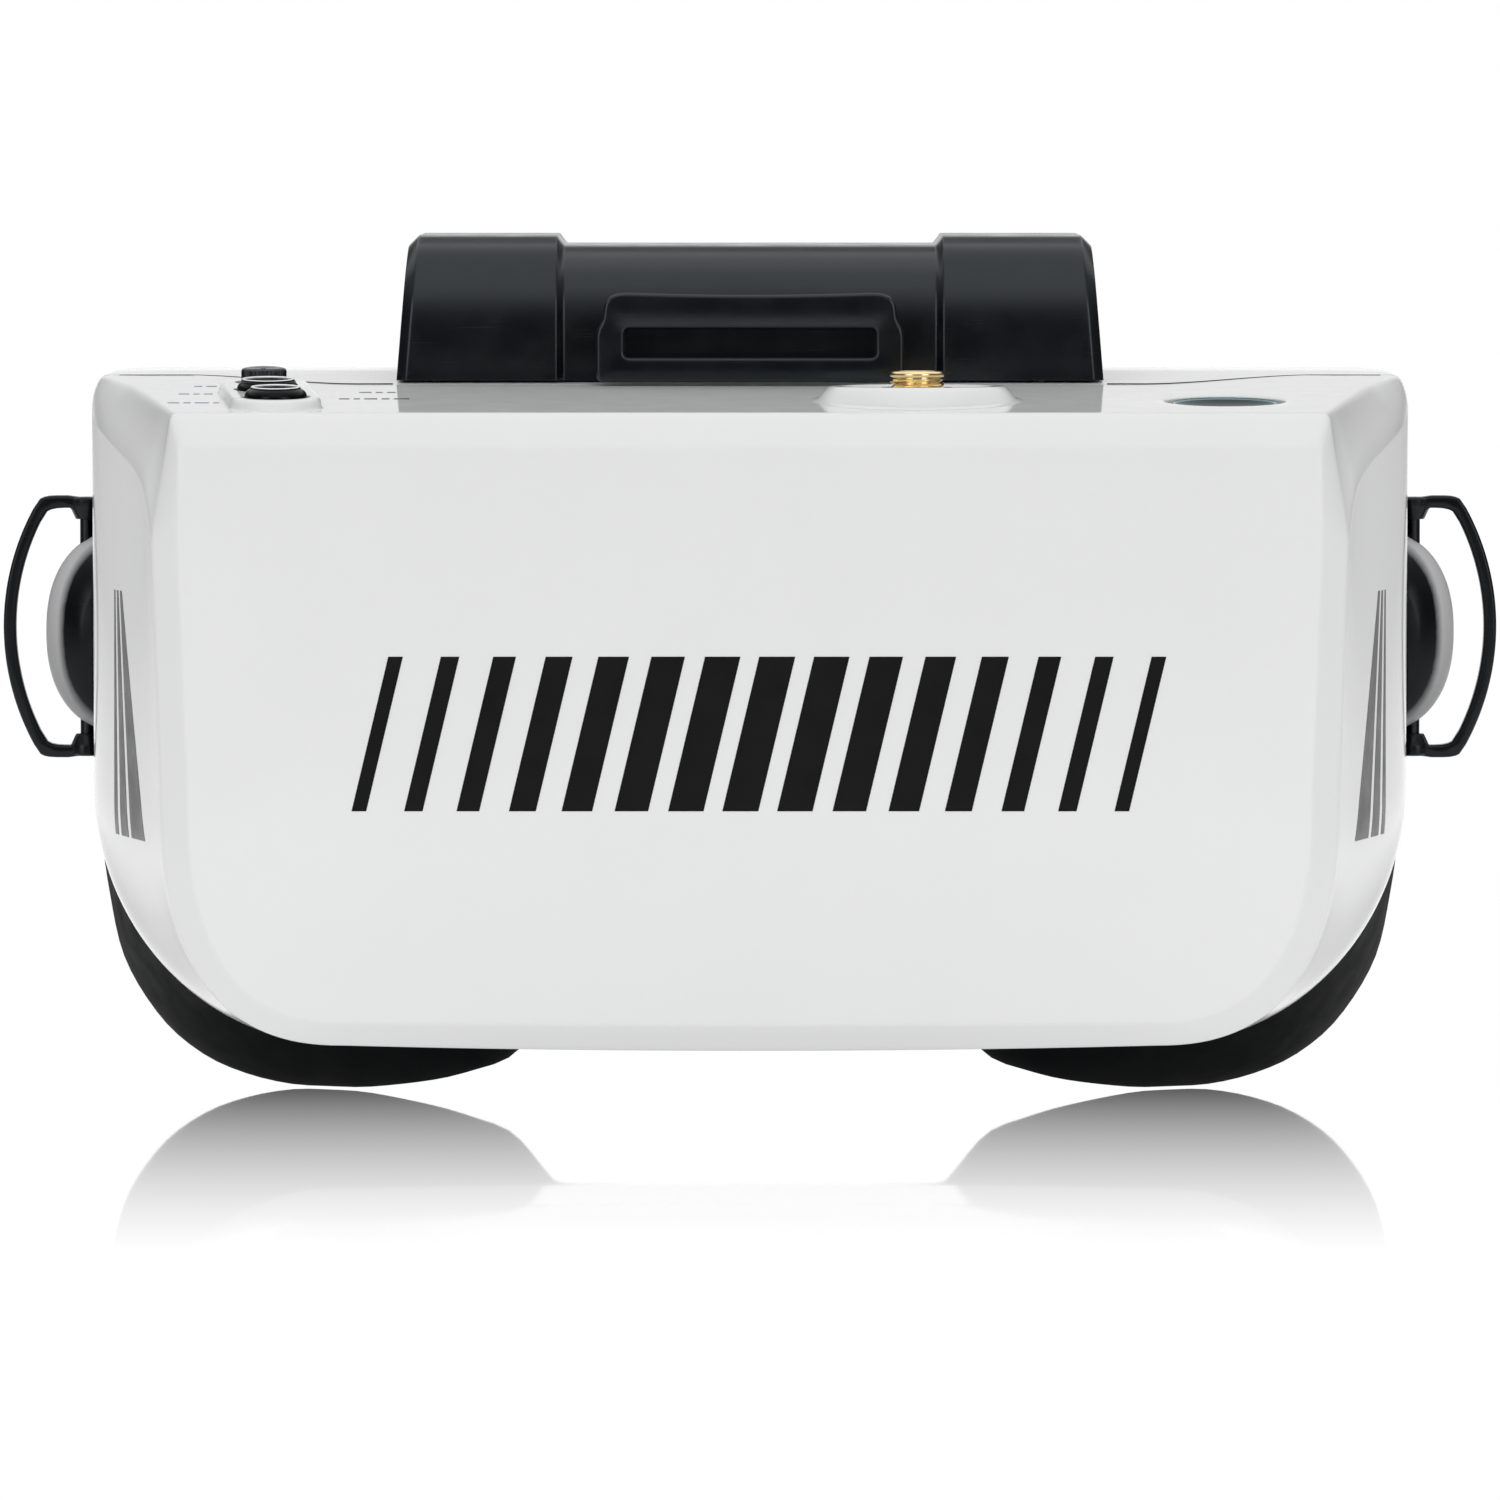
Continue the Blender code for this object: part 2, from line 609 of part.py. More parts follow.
# ---------------------------------------------------------------- strap loops at the sides
LOOP_X, LOOP_DEPTH, LOOP_Z = 80.0, 92.0, 56.4       # the pin's middle
LOOP_OUT, LOOP_HALF_HEIGHT, LOOP_BAR, LOOP_BOW = 90.0, 15.8, 1.5, 29.8
LOOP_HALF_DEPTH = 1.3
BOW_STEPS = 10
EYE_R, EYE_IN, EYE_OUT = 2.0, 12.95, 15.6
PIN_R, PIN_HALF = 0.8, 15.2
PIN_HOLE_R, PIN_HOLE_HALF = PIN_R + 0.12, 17

# boss: a squarish oval dome, cut off at BOSS_CUT_X just clear of the face plate's wall
BOSS_X, BOSS_CUT_X, BOSS_Z = 75.0, 79.0, 55.8
BOSS_REACH_X, BOSS_REACH_DEPTH, BOSS_REACH_Z = 9.9, 7.4, 12.3
BOSS_POWER = 2.3
BOSS_LIMIT = 64                                     # degrees from the middle to either end
BOSS_DEPTH_STEPS, BOSS_ARCH_STEPS = 10, 14


def boss_arch(scale):
    """Section of the boss, bulging out in +x, from its top to its bottom."""
    reach_x, reach_z = BOSS_REACH_X * scale, BOSS_REACH_Z * scale
    limit = math.acos(((BOSS_CUT_X - BOSS_X) / reach_x) ** (BOSS_POWER / 2))
    points = []
    for i in range(BOSS_ARCH_STEPS + 1):
        angle = limit - 2 * limit * i / BOSS_ARCH_STEPS
        height = reach_z * abs(math.sin(angle)) ** (2 / BOSS_POWER)
        points.append((BOSS_X + reach_x * math.cos(angle) ** (2 / BOSS_POWER),
                       BOSS_Z + math.copysign(height, math.sin(angle))))
    return points


def boss_rings():
    rings = []
    for i in range(BOSS_DEPTH_STEPS + 1):
        angle = math.radians(-BOSS_LIMIT + 2 * BOSS_LIMIT * i / BOSS_DEPTH_STEPS)
        depth = LOOP_DEPTH + BOSS_REACH_DEPTH * math.sin(angle)
        rings.append(at_depth(boss_arch(math.cos(angle) ** 0.8), depth))
    return rings


def loop_edge(root, out_x, bow_radius, half_height, corner):
    """One edge of the bowed frame, top to bottom; root is its upper start. z is from the middle."""
    centre_x = out_x - bow_radius
    end_x = centre_x + math.sqrt(bow_radius**2 - half_height**2)
    limit = math.asin(half_height / bow_radius) - corner / bow_radius
    angles = [limit * (1 - 2 * i / BOW_STEPS) for i in range(BOW_STEPS + 1)]
    bow = [(centre_x + bow_radius * math.cos(a), bow_radius * math.sin(a)) for a in angles]
    turn = arc((end_x, half_height), (end_x - 20, half_height), bow[0], corner, 4)
    top = root + turn[:-1]
    return top + bow + [(x, -z) for x, z in reversed(top)]


def loop_outline():
    inner_half = LOOP_HALF_HEIGHT - LOOP_BAR
    outer = loop_edge([(LOOP_X, LOOP_HALF_HEIGHT - 0.3), (LOOP_X + 2.2, LOOP_HALF_HEIGHT)],
                      LOOP_OUT, LOOP_BOW, LOOP_HALF_HEIGHT, 1.8)
    inner = loop_edge([(LOOP_X, 12.9), (LOOP_X + 1.1, 13.7), (LOOP_X + 2.0, inner_half)],
                      LOOP_OUT - LOOP_BAR, LOOP_BOW - LOOP_BAR, inner_half, 2.0)
    return [(x, LOOP_Z + z) for x, z in outer + inner[::-1]]


def build_strap_loop(label, side):
    pivot = (side * LOOP_X, LOOP_DEPTH, LOOP_Z)
    frame = upright(*pivot)
    pin_hole = rod(PIN_HOLE_R, -PIN_HOLE_HALF, PIN_HOLE_HALF, 14, frame)
    # the boss that carries the strap loop's pin
    boss = add(f"loop_boss_{label}", loft([to_side(ring, side) for ring in boss_rings()]), BLACK)
    cut(boss, f"cut_boss_{label}", pin_hole)
    # a bowed frame that swings on the pin, with an eye above and below the boss
    depths = (LOOP_DEPTH - LOOP_HALF_DEPTH, LOOP_DEPTH + LOOP_HALF_DEPTH)
    strap = add(f"strap_loop_{label}", extruded(to_side(loop_outline(), side), depths), BLACK,
                pivot=pivot)
    for above, low, high in ((True, EYE_IN, EYE_OUT), (False, -EYE_OUT, -EYE_IN)):
        join(strap, f"eye_{label}_{above}", rod(EYE_R, low, high, 18, frame))
    cut(strap, f"cut_eye_{label}", pin_hole)
    add(f"loop_pin_{label}", rod(PIN_R, -PIN_HALF, PIN_HALF, 14, frame), STEEL)


for label, side in (("left", -1), ("right", 1)):
    build_strap_loop(label, side)

# ---------------------------------------------------------------- hook tape and face foam
# sections as (place across the rim, distance behind it)
TAPE_SECTION = [(0.18, 0.4), (0.18, 1.2), (0.5, 1.2), (0.82, 1.2), (0.82, 0.4), (0.5, 0.4)]
FOAM_SECTION = [(0.1, 1.9), (0.04, 3.8), (0.08, 6.0), (0.26, 7.6), (0.5, 8.0), (0.74, 7.6),
                (0.9, 6.0), (0.95, 4.0), (0.9, 2.0), (0.82, 1.8), (0.5, 1.8), (0.18, 1.8)]


def build_rim_band(name, section, finish, smooth):
    rings = [rim_ring(place, behind) for place, behind in section]
    places = [place for place, _ in section]
    add(name, loft(rings, closed=True, across=places), finish, smooth=smooth)


build_rim_band("hook_tape", TAPE_SECTION, HOOK, smooth=40)
build_rim_band("face_foam", FOAM_SECTION, FOAM, smooth=60)

# ---------------------------------------------------------------- battery hump
CASE_FRONT, CASE_BACK = 39.5, 84.0
CASE_HALF, CASE_TAPER, CASE_TOP = 41.25, 0.081, 104.0
CASE_BASE_Z = 87.0              # where the half width is CASE_HALF
CASE_EDGE = 0.75                # width of the bevel at each end
CHANNEL_HALF, CHANNEL_STEP = 22.0, 0.35     # shallow channel over the middle, half its ramp
# (depth, z) of the hollow
CASE_HOLLOW = [
    (CASE_FRONT + 1.5, 84.0), (CASE_FRONT + 1.5, 91), (CASE_FRONT + 1.8, 95),
    (CASE_FRONT + 3.0, 98), (CASE_FRONT + 5.0, 100.2), (CASE_FRONT + 9, 101.35),
    (74, 101.35), (78.6, 100.2), (81.2, 97), (82.2, 93), (82.2, 84.0),
]


def case_section(inset, drop):
    """Closed (depth, z) section: inset moves front and back in, drop lowers the crown."""
    front, back, top = CASE_FRONT + inset, CASE_BACK - inset, CASE_TOP - drop
    return [
        (front, top_z(CASE_FRONT) + GAP), (front, 91.0), (front + 0.35, 95.5),
        (front + 1.3, 98.8), (front + 3.0, top - 2.1), (front + 5.6, top - 0.55),
        (front + 9.0, top), (60, top), (74 - inset, top), (back - 5.0, top - 0.6),
        (back - 2.0, top - 2.2), (back - 0.4, top - 5.0), (back, top - 9.0), (back, 87.15),
        (78, 87.4), (68, 88.5), (60, 88.45), (52, 88.05), (45, top_z(45) + GAP),
    ]


def case_x(z):
    return CASE_HALF - (z - CASE_BASE_Z) * CASE_TAPER


def build_battery_cover():
    whole, channel = case_section(0, 0), case_section(0.7, 1.15)
    end = case_section(0.8, 1.35)
    left = [[(-case_x(z), depth, z) for depth, z in end],
            [(CASE_EDGE - case_x(z), depth, z) for depth, z in whole]]
    for x, section in ((-CHANNEL_HALF - CHANNEL_STEP, whole),
                       (-CHANNEL_HALF + CHANNEL_STEP, channel), (0.0, channel)):
        left.append([(x, depth, z) for depth, z in section])
    right = [to_side(ring, -1) for ring in reversed(left[:-1])]
    cover = add("battery_cover", loft(left + right), BLACK, smooth=32)
    cut(cover, "cut_hollow", loft([
        [(x, depth, z) for depth, z in CASE_HOLLOW] for x in (-WELL_HALF, WELL_HALF)]))


def box(name, x_span, depth_span, z_span, finish):
    return add(name, block(x_span, depth_span, z_span), finish, smooth=0)


def build_battery_tray():
    """Tray let into the roof of the housing."""
    half, front, back = WELL_HALF - GAP, WELL_FRONT + GAP, WELL_BACK - GAP
    tray = box("battery_tray", (-half, half), (front, back), (81.4, 86.6), BLACK_IN)
    cut(tray, "cut_tray", block((1 - half, half - 1), (front + 0.8, back - 0.8), (82.3, 90)))


build_battery_cover()
build_battery_tray()

# ---------------------------------------------------------------- cells, springs, contacts
CELL_R, CELL_LENGTH, CELL_X0, CELL_Z = 9.0, 65.2, -31.6, 92.0
CELL_DEPTHS = (50.3, 68.5)
# (radius, distance from the left end)
CELL_PROFILE = [
    (CELL_R - 0.5, 0), (CELL_R, 0.5), (CELL_R, CELL_LENGTH - 1.4),
    (CELL_R - 0.6, CELL_LENGTH - 0.9), (3.2, CELL_LENGTH - 0.9), (2.9, CELL_LENGTH),
]
SPRING_X0, SPRING_X1 = -36.4, CELL_X0 - 0.5
SPRING_R0, SPRING_R1 = 3.6, 2.4
SPRING_TURNS, SPRING_STEPS = 3, 30
SPRING_WIRE_R, SPRING_WIRE_SIDES = 0.32, 5
CONTACT_SIZE = ((43.5, 75.4), (84.0, 98.2))         # depth span, z span


def cell_spring(depth):
    """Conical spring lying along x, wide at the left."""
    rings = []
    for i in range(SPRING_STEPS + 1):
        t = i / SPRING_STEPS
        angle = 2 * math.pi * SPRING_TURNS * t
        x = SPRING_X0 + (SPRING_X1 - SPRING_X0) * t
        coil_r = SPRING_R0 + (SPRING_R1 - SPRING_R0) * t
        ring = []
        for j in range(SPRING_WIRE_SIDES):
            out, along = circle_xy(SPRING_WIRE_R, j, SPRING_WIRE_SIDES)
            radius = coil_r + out
            ring.append((x + along, depth + radius * math.cos(angle),
                         CELL_Z + radius * math.sin(angle)))
        rings.append(ring)
    return loft(rings)


for k, depth in enumerate(CELL_DEPTHS, start=1):
    add(f"battery_cell_{k}", turned(CELL_PROFILE, 28, along_x(CELL_X0, depth, CELL_Z)), CELL)
    add(f"cell_spring_{k}", cell_spring(depth), NICKEL)
box("contact_left", (-37.1, -36.9), *CONTACT_SIZE, NICKEL)
cells_end = CELL_X0 + CELL_LENGTH
box("contact_right", (cells_end + 0.3, cells_end + 0.7), *CONTACT_SIZE, NICKEL)

# ---------------------------------------------------------------- loop for the top strap
TOP_LOOP_DEPTHS = (35.5, 37.8)
# (x, z) of the right half, from its foot to the top middle
TOP_LOOP_HALF = [
    (17.9, top_z(36.6) + 0.42), (17.9, 92.9), (17.2, 94.4), (17.0, 95.8), (16.3, 96.9),
    (15.0, 97.4), (8, 97.25), (0, 97.2),
]
top_loop_outline = TOP_LOOP_HALF + to_side(TOP_LOOP_HALF[-2::-1], -1)
top_loop = add("top_strap_loop", extruded(top_loop_outline, TOP_LOOP_DEPTHS), BLACK)
cut(top_loop, "cut_top_loop",
    loft([rect_ring(14.6, 89.9, 93.3, 0.9, depth, steps=3) for depth in (30, 42)]))

# ---------------------------------------------------------------- antenna connector
# (radius, z) profiles
SOCKET_PROFILE = [(3.9, 80.6), (4.4, 81.0), (4.4, 82.3), (3.1, 82.5), (3.1, 88.3), (2.8, 88.7)]
SOCKET_PIN = [(0.65, 84.0), (0.65, 87.9), (0.4, 88.2)]
NUT_PROFILE = [(4.6, 85.8), (4.6, 86.85)]


def build_antenna_connector():
    frame = upright(*ANTENNA)
    socket = add("antenna_socket", turned(SOCKET_PROFILE, 24, frame), GOLD)
    cut(socket, "cut_socket", rod(2.15, 84.5, 90, 20, frame))
    join(socket, "pin_socket", turned(SOCKET_PIN, 12, frame))
    hexagon = turned(NUT_PROFILE, 6, frame, phase=math.pi / 6)
    nut = add("antenna_nut", hexagon, GOLD, smooth=0)
    cut(nut, "cut_nut", rod(3.3, 85, 88.5, 20, frame))


build_antenna_connector()

# ---------------------------------------------------------------- cables
WIRE_R, WIRE_SIDES = 0.6, 6
ANTENNA_X, ANTENNA_DEPTH = ANTENNA
ANTENNA_CABLE = [
    (ANTENNA_X, ANTENNA_DEPTH, 80.2), (ANTENNA_X, ANTENNA_DEPTH - 0.15, 79.5),
    (ANTENNA_X + 1, ANTENNA_DEPTH - 6, 78.9), (ANTENNA_X + 2, 7.0, 78.8),
    (ANTENNA_X + 3.5, 5.2, 76.5), (ANTENNA_X + 4, 5.2, 71.2),
]
# (depth, z) of both battery wires
BATTERY_WIRE = [(44.0, 80.4), (40, 79.9), (24, 79.6), (12.6, 79.0), (11.3, 76.6), (11.3, 70.0)]


def cable(name, points, steps, finish):
    """Round wire on a smooth curve through the points."""
    line = curve_through(points, steps)
    last = len(line) - 1
    across = None
    rings = []
    for i, centre in enumerate(line):
        along = (line[min(i + 1, last)] - line[max(i - 1, 0)]).normalized()
        if across is None:
            across = along.orthogonal().normalized()
        # carry the last ring's direction on, so that the wire does not twist
        across = (across - along * across.dot(along)).normalized()
        other = along.cross(across)
        offsets = [circle_xy(WIRE_R, j, WIRE_SIDES) for j in range(WIRE_SIDES)]
        rings.append([tuple(centre + across * x + other * y) for x, y in offsets])
    add(name, loft(rings), finish)


cable("antenna_cable", ANTENNA_CABLE, 4, CABLE)
for color, x, finish in (("red", -30, WIRE_RED), ("black", -33, CABLE)):
    cable(f"battery_wire_{color}", [(x, depth, z) for depth, z in BATTERY_WIRE], 3, finish)

# ---------------------------------------------------------------- electronics in the front
# name, x span, depth span, z span, finish
FLAT_PARTS = [
    ("receiver_board", (8.0, 40.0), (7.3, 8.1), (44.0, 70.6), BOARD),
    ("receiver_can", (10.0, 35.0), (4.4, 7.0), (46.5, 66.5), CAN),
    ("main_board", (-46.0, 46.0), (8.7, 10.3), (18.0, 75.5), BOARD),
    ("display_panel", (-52.7, 52.7), (13.0, 16.0), (14.6, 77.0), PANEL),
    ("display_ribbon", (-16.0, 16.0), (11.2, 11.5), (16.0, 30.0), FLEX),
]
for part in FLAT_PARTS:
    box(*part)

DISPLAY_FRAME_DEPTHS = (16.3, 17.8)
display_frame = add(
    "display_frame",
    loft([rect_ring(56.5, 14.4, 77.2, 9, depth) for depth in DISPLAY_FRAME_DEPTHS]), BLACK_IN)
cut(display_frame, "cut_bracket", block((-48.2, 48.2), (10, 20), (18.6, 73.0)))

# ---------------------------------------------------------------- light hood and lens
HOOD_FRONT = DISPLAY_FRAME_DEPTHS[1] + GAP
HOOD_BACK = 71.5
FRAME_FRONT, FRAME_BACK = HOOD_BACK + GAP, 73.4
HOOD_RIM = (57.5, 14.2, 78.0, 4)
LENS_Z = 46.1
LENS_HALF, LENS_HALF_HEIGHT, LENS_CORNER, LENS_BULGE = 51, 25.7, 9, 4.6
FRAME_OPENING = (52.0, 19.4, 72.8, 9)
# rows are half width, low z, high z, corner radius, depth
HOOD = [
    (50.5, 16.6, 75.0, 3, HOOD_FRONT),
    (54.8, 15.2, 76.6, 4, 66.0),
    (*HOOD_RIM, 66.0),
    (*HOOD_RIM, HOOD_BACK),
    (56.0, 15.6, 76.6, 3.5, HOOD_BACK),
    (56.0, 15.6, 76.6, 3.5, 67.5),
    (52.8, 17.4, 74.6, 3, 67.5),
    (49.0, 18.0, 73.6, 2.5, HOOD_FRONT),
]
LENS_EDGE = [(55.6, 16.0, 76.2, 3.2, 67.8), (55.6, 16.0, 76.2, 3.2, 71.3)]
LENS_FRAME = [
    (*HOOD_RIM, FRAME_FRONT), (*HOOD_RIM, FRAME_BACK),
    (*FRAME_OPENING, FRAME_BACK), (*FRAME_OPENING, FRAME_FRONT),
]


def lens_rings():
    """Flat edge, then the face bulging towards the wearer."""
    rings = [rect_ring(*row) for row in LENS_EDGE]
    for t in (1.0, 0.8, 0.6, 0.4, 0.2):
        scale = math.sin(t * math.pi / 2)
        half_height = LENS_HALF_HEIGHT * scale
        rings.append(rect_ring(
            LENS_HALF * scale, LENS_Z - half_height, LENS_Z + half_height,
            LENS_CORNER * scale, HOOD_BACK + LENS_BULGE * math.cos(t * math.pi / 2)))
    return rings


add("light_hood", loft([rect_ring(*row) for row in HOOD], closed=True), BLACK_IN)
add("eye_lens", loft(lens_rings()), GLASS)
add("lens_frame", loft([rect_ring(*row) for row in LENS_FRAME], closed=True), BLACK_IN)

# ---------------------------------------------------------------- controls
# (radius, height above the sloping top) profiles
BUTTON_STEM = [(1.2, -3.1), (1.4, -2.95), (4.4, -2.95), (4.4, -2.4), (BUTTON_R, -2.4),
               (BUTTON_R, 1.25), (3.4, 1.5)]
FRONT_CROWN = [(2.9, 1.8), (2.85, 2.3), (2.5, 2.5)]
MIDDLE_CROWN = [(3.1, 1.8), (3.05, 2.3), (2.6, 2.55)]
POWER_PROFILE = [(1.5, -4.2), (1.7, -3.1), (7.4, -3.1), (7.4, -2.4), (POWER_R, -2.4),
                 (POWER_R, -0.4), (6.3, -0.25), (5.5, -0.5), (3.0, -0.85), (1.0, -0.95)]
DIAL_STEM = [(1.2, -3.1), (1.4, -2.95), (3.8, -2.95), (3.8, -2.4), (2.9, -2.4), (2.9, 1.3)]
DIAL_KNOB = [(2.4, 1.3), (2.4, 2.7), (2.0, 2.95)]
DIAL_SIDES, DIAL_RIB = 36, 0.22


def build_button(name, place, profile, finish, sides=24):
    frame = on_top(*place)
    add(name, turned(profile, sides, frame), finish, pivot=tuple(frame.translation))


def build_dial():
    """Round stem and ribbed knob; every third point of the knob stands out."""
    frame = on_top(*DIAL)
    rings = []
    for profile, rib in ((DIAL_STEM, 0), (DIAL_KNOB, DIAL_RIB)):
        for radius, height in profile:
            ring = []
            for i in range(DIAL_SIDES):
                out = radius + (rib if i % 3 == 0 else 0)
                ring.append(tuple(frame @ Vector((*circle_xy(out, i, DIAL_SIDES), height))))
            rings.append(ring)
    add("dial", loft(rings), BLACK, pivot=tuple(frame.translation), smooth=25)


build_button("button_front", BUTTON_FRONT, BUTTON_STEM + FRONT_CROWN, BLACK)
build_button("button_middle", BUTTON_MIDDLE, BUTTON_STEM + MIDDLE_CROWN, BLACK)
build_dial()
build_button("power_button", POWER, POWER_PROFILE, TEAL, sides=28)


def slab(name, x_span, depth_span, heights, finish):
    """Flat part parallel to the sloping top; heights are from the top, negative below it."""
    (x0, x1), (depth0, depth1) = x_span, depth_span
    plan = [(x0, depth0), (x1, depth0), (x1, depth1), (x0, depth1)]
    add(name, loft([on_slope(plan, height) for height in heights]), finish, smooth=0)


def switch(label, place, half, heights):
    x, depth = place
    slab(f"switch_{label}", (x - half, x + half), (depth - half, depth + half), heights, BLACK_IN)


slab("control_board", (-60.3, -49.6), (5.4, 32.0), (-6.4, -5.4), BOARD)
for label, place, _ in SIDE_CONTROLS:
    switch(label, place, 2.6, (-5.1, -3.55))
slab("power_board", (47.5, 61.5), (10.0, 26.0), (-7.4, -6.4), BOARD)
switch("power", POWER, 3.0, (-6.1, -4.65))


# ---------------------------------------------------------------- screws
def build_screws(label, places, head_depth, length):
    """Pan head screws lying along depth, heads towards the wearer."""
    profile = [(0.5, -length), (0.75, -length + 0.6), (0.75, 0), (2.0, 0), (2.0, 0.7),
               (1.5, 1.2), (0.8, 1.3)]
    for k, (x, z) in enumerate(places, start=1):
        add(f"{label}_screw_{k}", turned(profile, 14, along_depth(x, z, head_depth)), STEEL)


build_screws("shell", SHELL_SCREWS, LUG_BACK + GAP, 10.0)
build_screws("plate", PLATE_SCREWS, PLATE_DEPTH + WALL + GAP, 9.5)
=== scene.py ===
"""FPV goggles: detailed meshes and materials laid over their CAD frame, with floor, light and camera.

Shapes are drawn in millimetres as (x, depth, z). Depth runs backwards (+Y) from the flat front,
which faces the camera, to the face foam. Left is -x, z is up, and the floor lies at z = 0.
"""
import json
import math

import bmesh
import bpy
from mathutils import Matrix, Vector


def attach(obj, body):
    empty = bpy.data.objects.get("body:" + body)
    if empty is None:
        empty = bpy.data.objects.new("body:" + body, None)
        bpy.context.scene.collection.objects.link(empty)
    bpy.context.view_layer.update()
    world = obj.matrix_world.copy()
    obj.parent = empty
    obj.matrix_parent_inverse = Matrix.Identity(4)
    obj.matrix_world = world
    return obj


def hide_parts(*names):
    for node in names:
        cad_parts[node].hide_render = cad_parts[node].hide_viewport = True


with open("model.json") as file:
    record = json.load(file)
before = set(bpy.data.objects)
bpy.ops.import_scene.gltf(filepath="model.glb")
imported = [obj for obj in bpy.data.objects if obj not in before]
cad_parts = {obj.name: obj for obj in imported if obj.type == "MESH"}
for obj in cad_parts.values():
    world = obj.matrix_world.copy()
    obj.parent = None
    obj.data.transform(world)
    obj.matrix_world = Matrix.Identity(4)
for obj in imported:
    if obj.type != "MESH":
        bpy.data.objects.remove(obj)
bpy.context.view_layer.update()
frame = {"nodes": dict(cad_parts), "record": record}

MM = 0.001
OVERALL_DEPTH = 126.0
DEPTH_0 = -OVERALL_DEPTH / 2       # world Y of the front face
WALL = 2.0
GAP = 0.3
SIDES = (("left", -1), ("right", 1))

# shell: depths, and the height of the sloping top at each end of the front shell
BEVEL_DEPTH = 3.5
SEAM = 50.0                        # front shell to rear housing, at the sides
TONGUE = 38.0                      # the same seam where it runs forward round the battery hump
SWEEP_IN, SWEEP_OUT = 45.5, 67.0   # x where the seam sweeps from one to the other
HOUSING_BACK = 80.0                # rear housing to face plate
PLATE_D = HOUSING_BACK + GAP
FRONT_TOP_Z, SEAM_TOP_Z = 84.3, 87.6
TOP_SLOPE = math.atan((SEAM_TOP_Z - FRONT_TOP_Z) / (SEAM - BEVEL_DEPTH))

# battery hump
CASE_FRONT, CASE_BACK = 39.5, 84.0
CASE_HALF, CASE_TAPER, CASE_TOP = 41.25, 0.081, 104.0
CHANNEL_DROP = 1.15

# controls, as (x, depth) on the sloping top
BUTTON_FRONT, BUTTON_MIDDLE, DIAL = (-54.2, 9.0), (-55.4, 18.2), (-56.2, 27.2)
POWER = (54.6, 18.0)
ANTENNA = (19.2, 18.0)

# strap loops and the bosses that hold them
LOOP_X, LOOP_D, LOOP_Z = 80.0, 92.0, 56.4
LOOP_OUT, LOOP_HALF_H, LOOP_BAR, LOOP_BOW = 90.0, 15.8, 1.5, 29.8
PIN_R = 0.8
BOSS_X, BOSS_Z, BOSS_CUT_X, BOSS_POWER = 75.0, 55.8, 79.0, 2.3

# screws: (x, heights) of each row, and the back of the posts under the shell screws
SHELL_SCREW_X, SHELL_SCREW_Z = 71.0, (36.0, 68.0)
PLATE_SCREW_X, PLATE_SCREW_Z = 70.6, (44.0, 60.0)
SHELL_POST_BACK = 54.0


# ---------------------------------------------------------------- objects
def shade(mesh, angle):
    mesh.shade_smooth()
    mesh.set_sharp_from_angle(angle=math.radians(angle))


def add(name, shape, material=None, smooth=40):
    """Object from (points, faces); smooth is the sharpest smoothed angle, 0 for flat faces."""
    points, faces = shape
    mesh = bpy.data.meshes.new(name)
    mesh.from_pydata([(x * MM, d * MM, z * MM) for x, d, z in points], [], faces)
    bm = bmesh.new()
    bm.from_mesh(mesh)
    bmesh.ops.remove_doubles(bm, verts=bm.verts, dist=1e-6)
    bmesh.ops.recalc_face_normals(bm, faces=bm.faces)
    bm.to_mesh(mesh)
    bm.free()
    obj = bpy.data.objects.new(name, mesh)
    obj.location = (0.0, DEPTH_0 * MM, 0.0)
    bpy.context.scene.collection.objects.link(obj)
    if material:
        mesh.materials.append(MATERIALS[material])
    if smooth:
        shade(mesh, smooth)
    return obj


def cut(obj, shape, operation="DIFFERENCE"):
    modifier = obj.modifiers.new("boolean", "BOOLEAN")
    modifier.operation = operation
    modifier.solver = "EXACT"
    modifier.object = add("cutter", shape, smooth=0)


def bake(obj, smooth):
    """Apply the object's Booleans and remove their cutters."""
    cutters = [modifier.object for modifier in obj.modifiers]
    depsgraph = bpy.context.evaluated_depsgraph_get()
    depsgraph.update()
    mesh = bpy.data.meshes.new_from_object(obj.evaluated_get(depsgraph))
    obj.modifiers.clear()
    obj.data = mesh
    for cutter in cutters:
        bpy.data.objects.remove(cutter, do_unlink=True)
    shade(mesh, smooth)
    return obj


def show_as(obj, node, body="goggles"):
    """obj shows in place of a CAD node."""
    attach(obj, body)
    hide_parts(node)


def add_detail(name, shape, material, smooth=40, body="goggles"):
    """Object with no CAD node of its own."""
    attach(add(name, shape, material, smooth), body)


# ---------------------------------------------------------------- curves
def lerp(a, b, t):
    return a + (b - a) * t


def bezier(a, b, c, t):
    return tuple(Vector(a) * (1 - t) ** 2 + Vector(b) * 2 * t * (1 - t) + Vector(c) * t * t)


def catmull_rom(a, b, c, d, t):
    """Point between b and c."""
    return 0.5 * (2 * b + (c - a) * t + (2 * a - 5 * b + 4 * c - d) * t * t
                  + (3 * b - a - 3 * c + d) * t**3)


def spaced(path, pieces):
    """pieces + 1 points evenly along an open path, ends included."""
    path = [Vector(p) for p in path]
    run = [0.0]
    for a, b in zip(path, path[1:]):
        run.append(run[-1] + (b - a).length)
    out, k = [], 0
    for i in range(pieces + 1):
        want = run[-1] * i / pieces
        while k < len(run) - 2 and run[k + 1] < want:
            k += 1
        t = (want - run[k]) / max(run[k + 1] - run[k], 1e-9)
        out.append(tuple(path[k].lerp(path[k + 1], min(t, 1))))
    return out


def resample(outline, count):
    """count points evenly round a closed outline, from its first point."""
    return spaced(outline + outline[:1], count)[:-1]


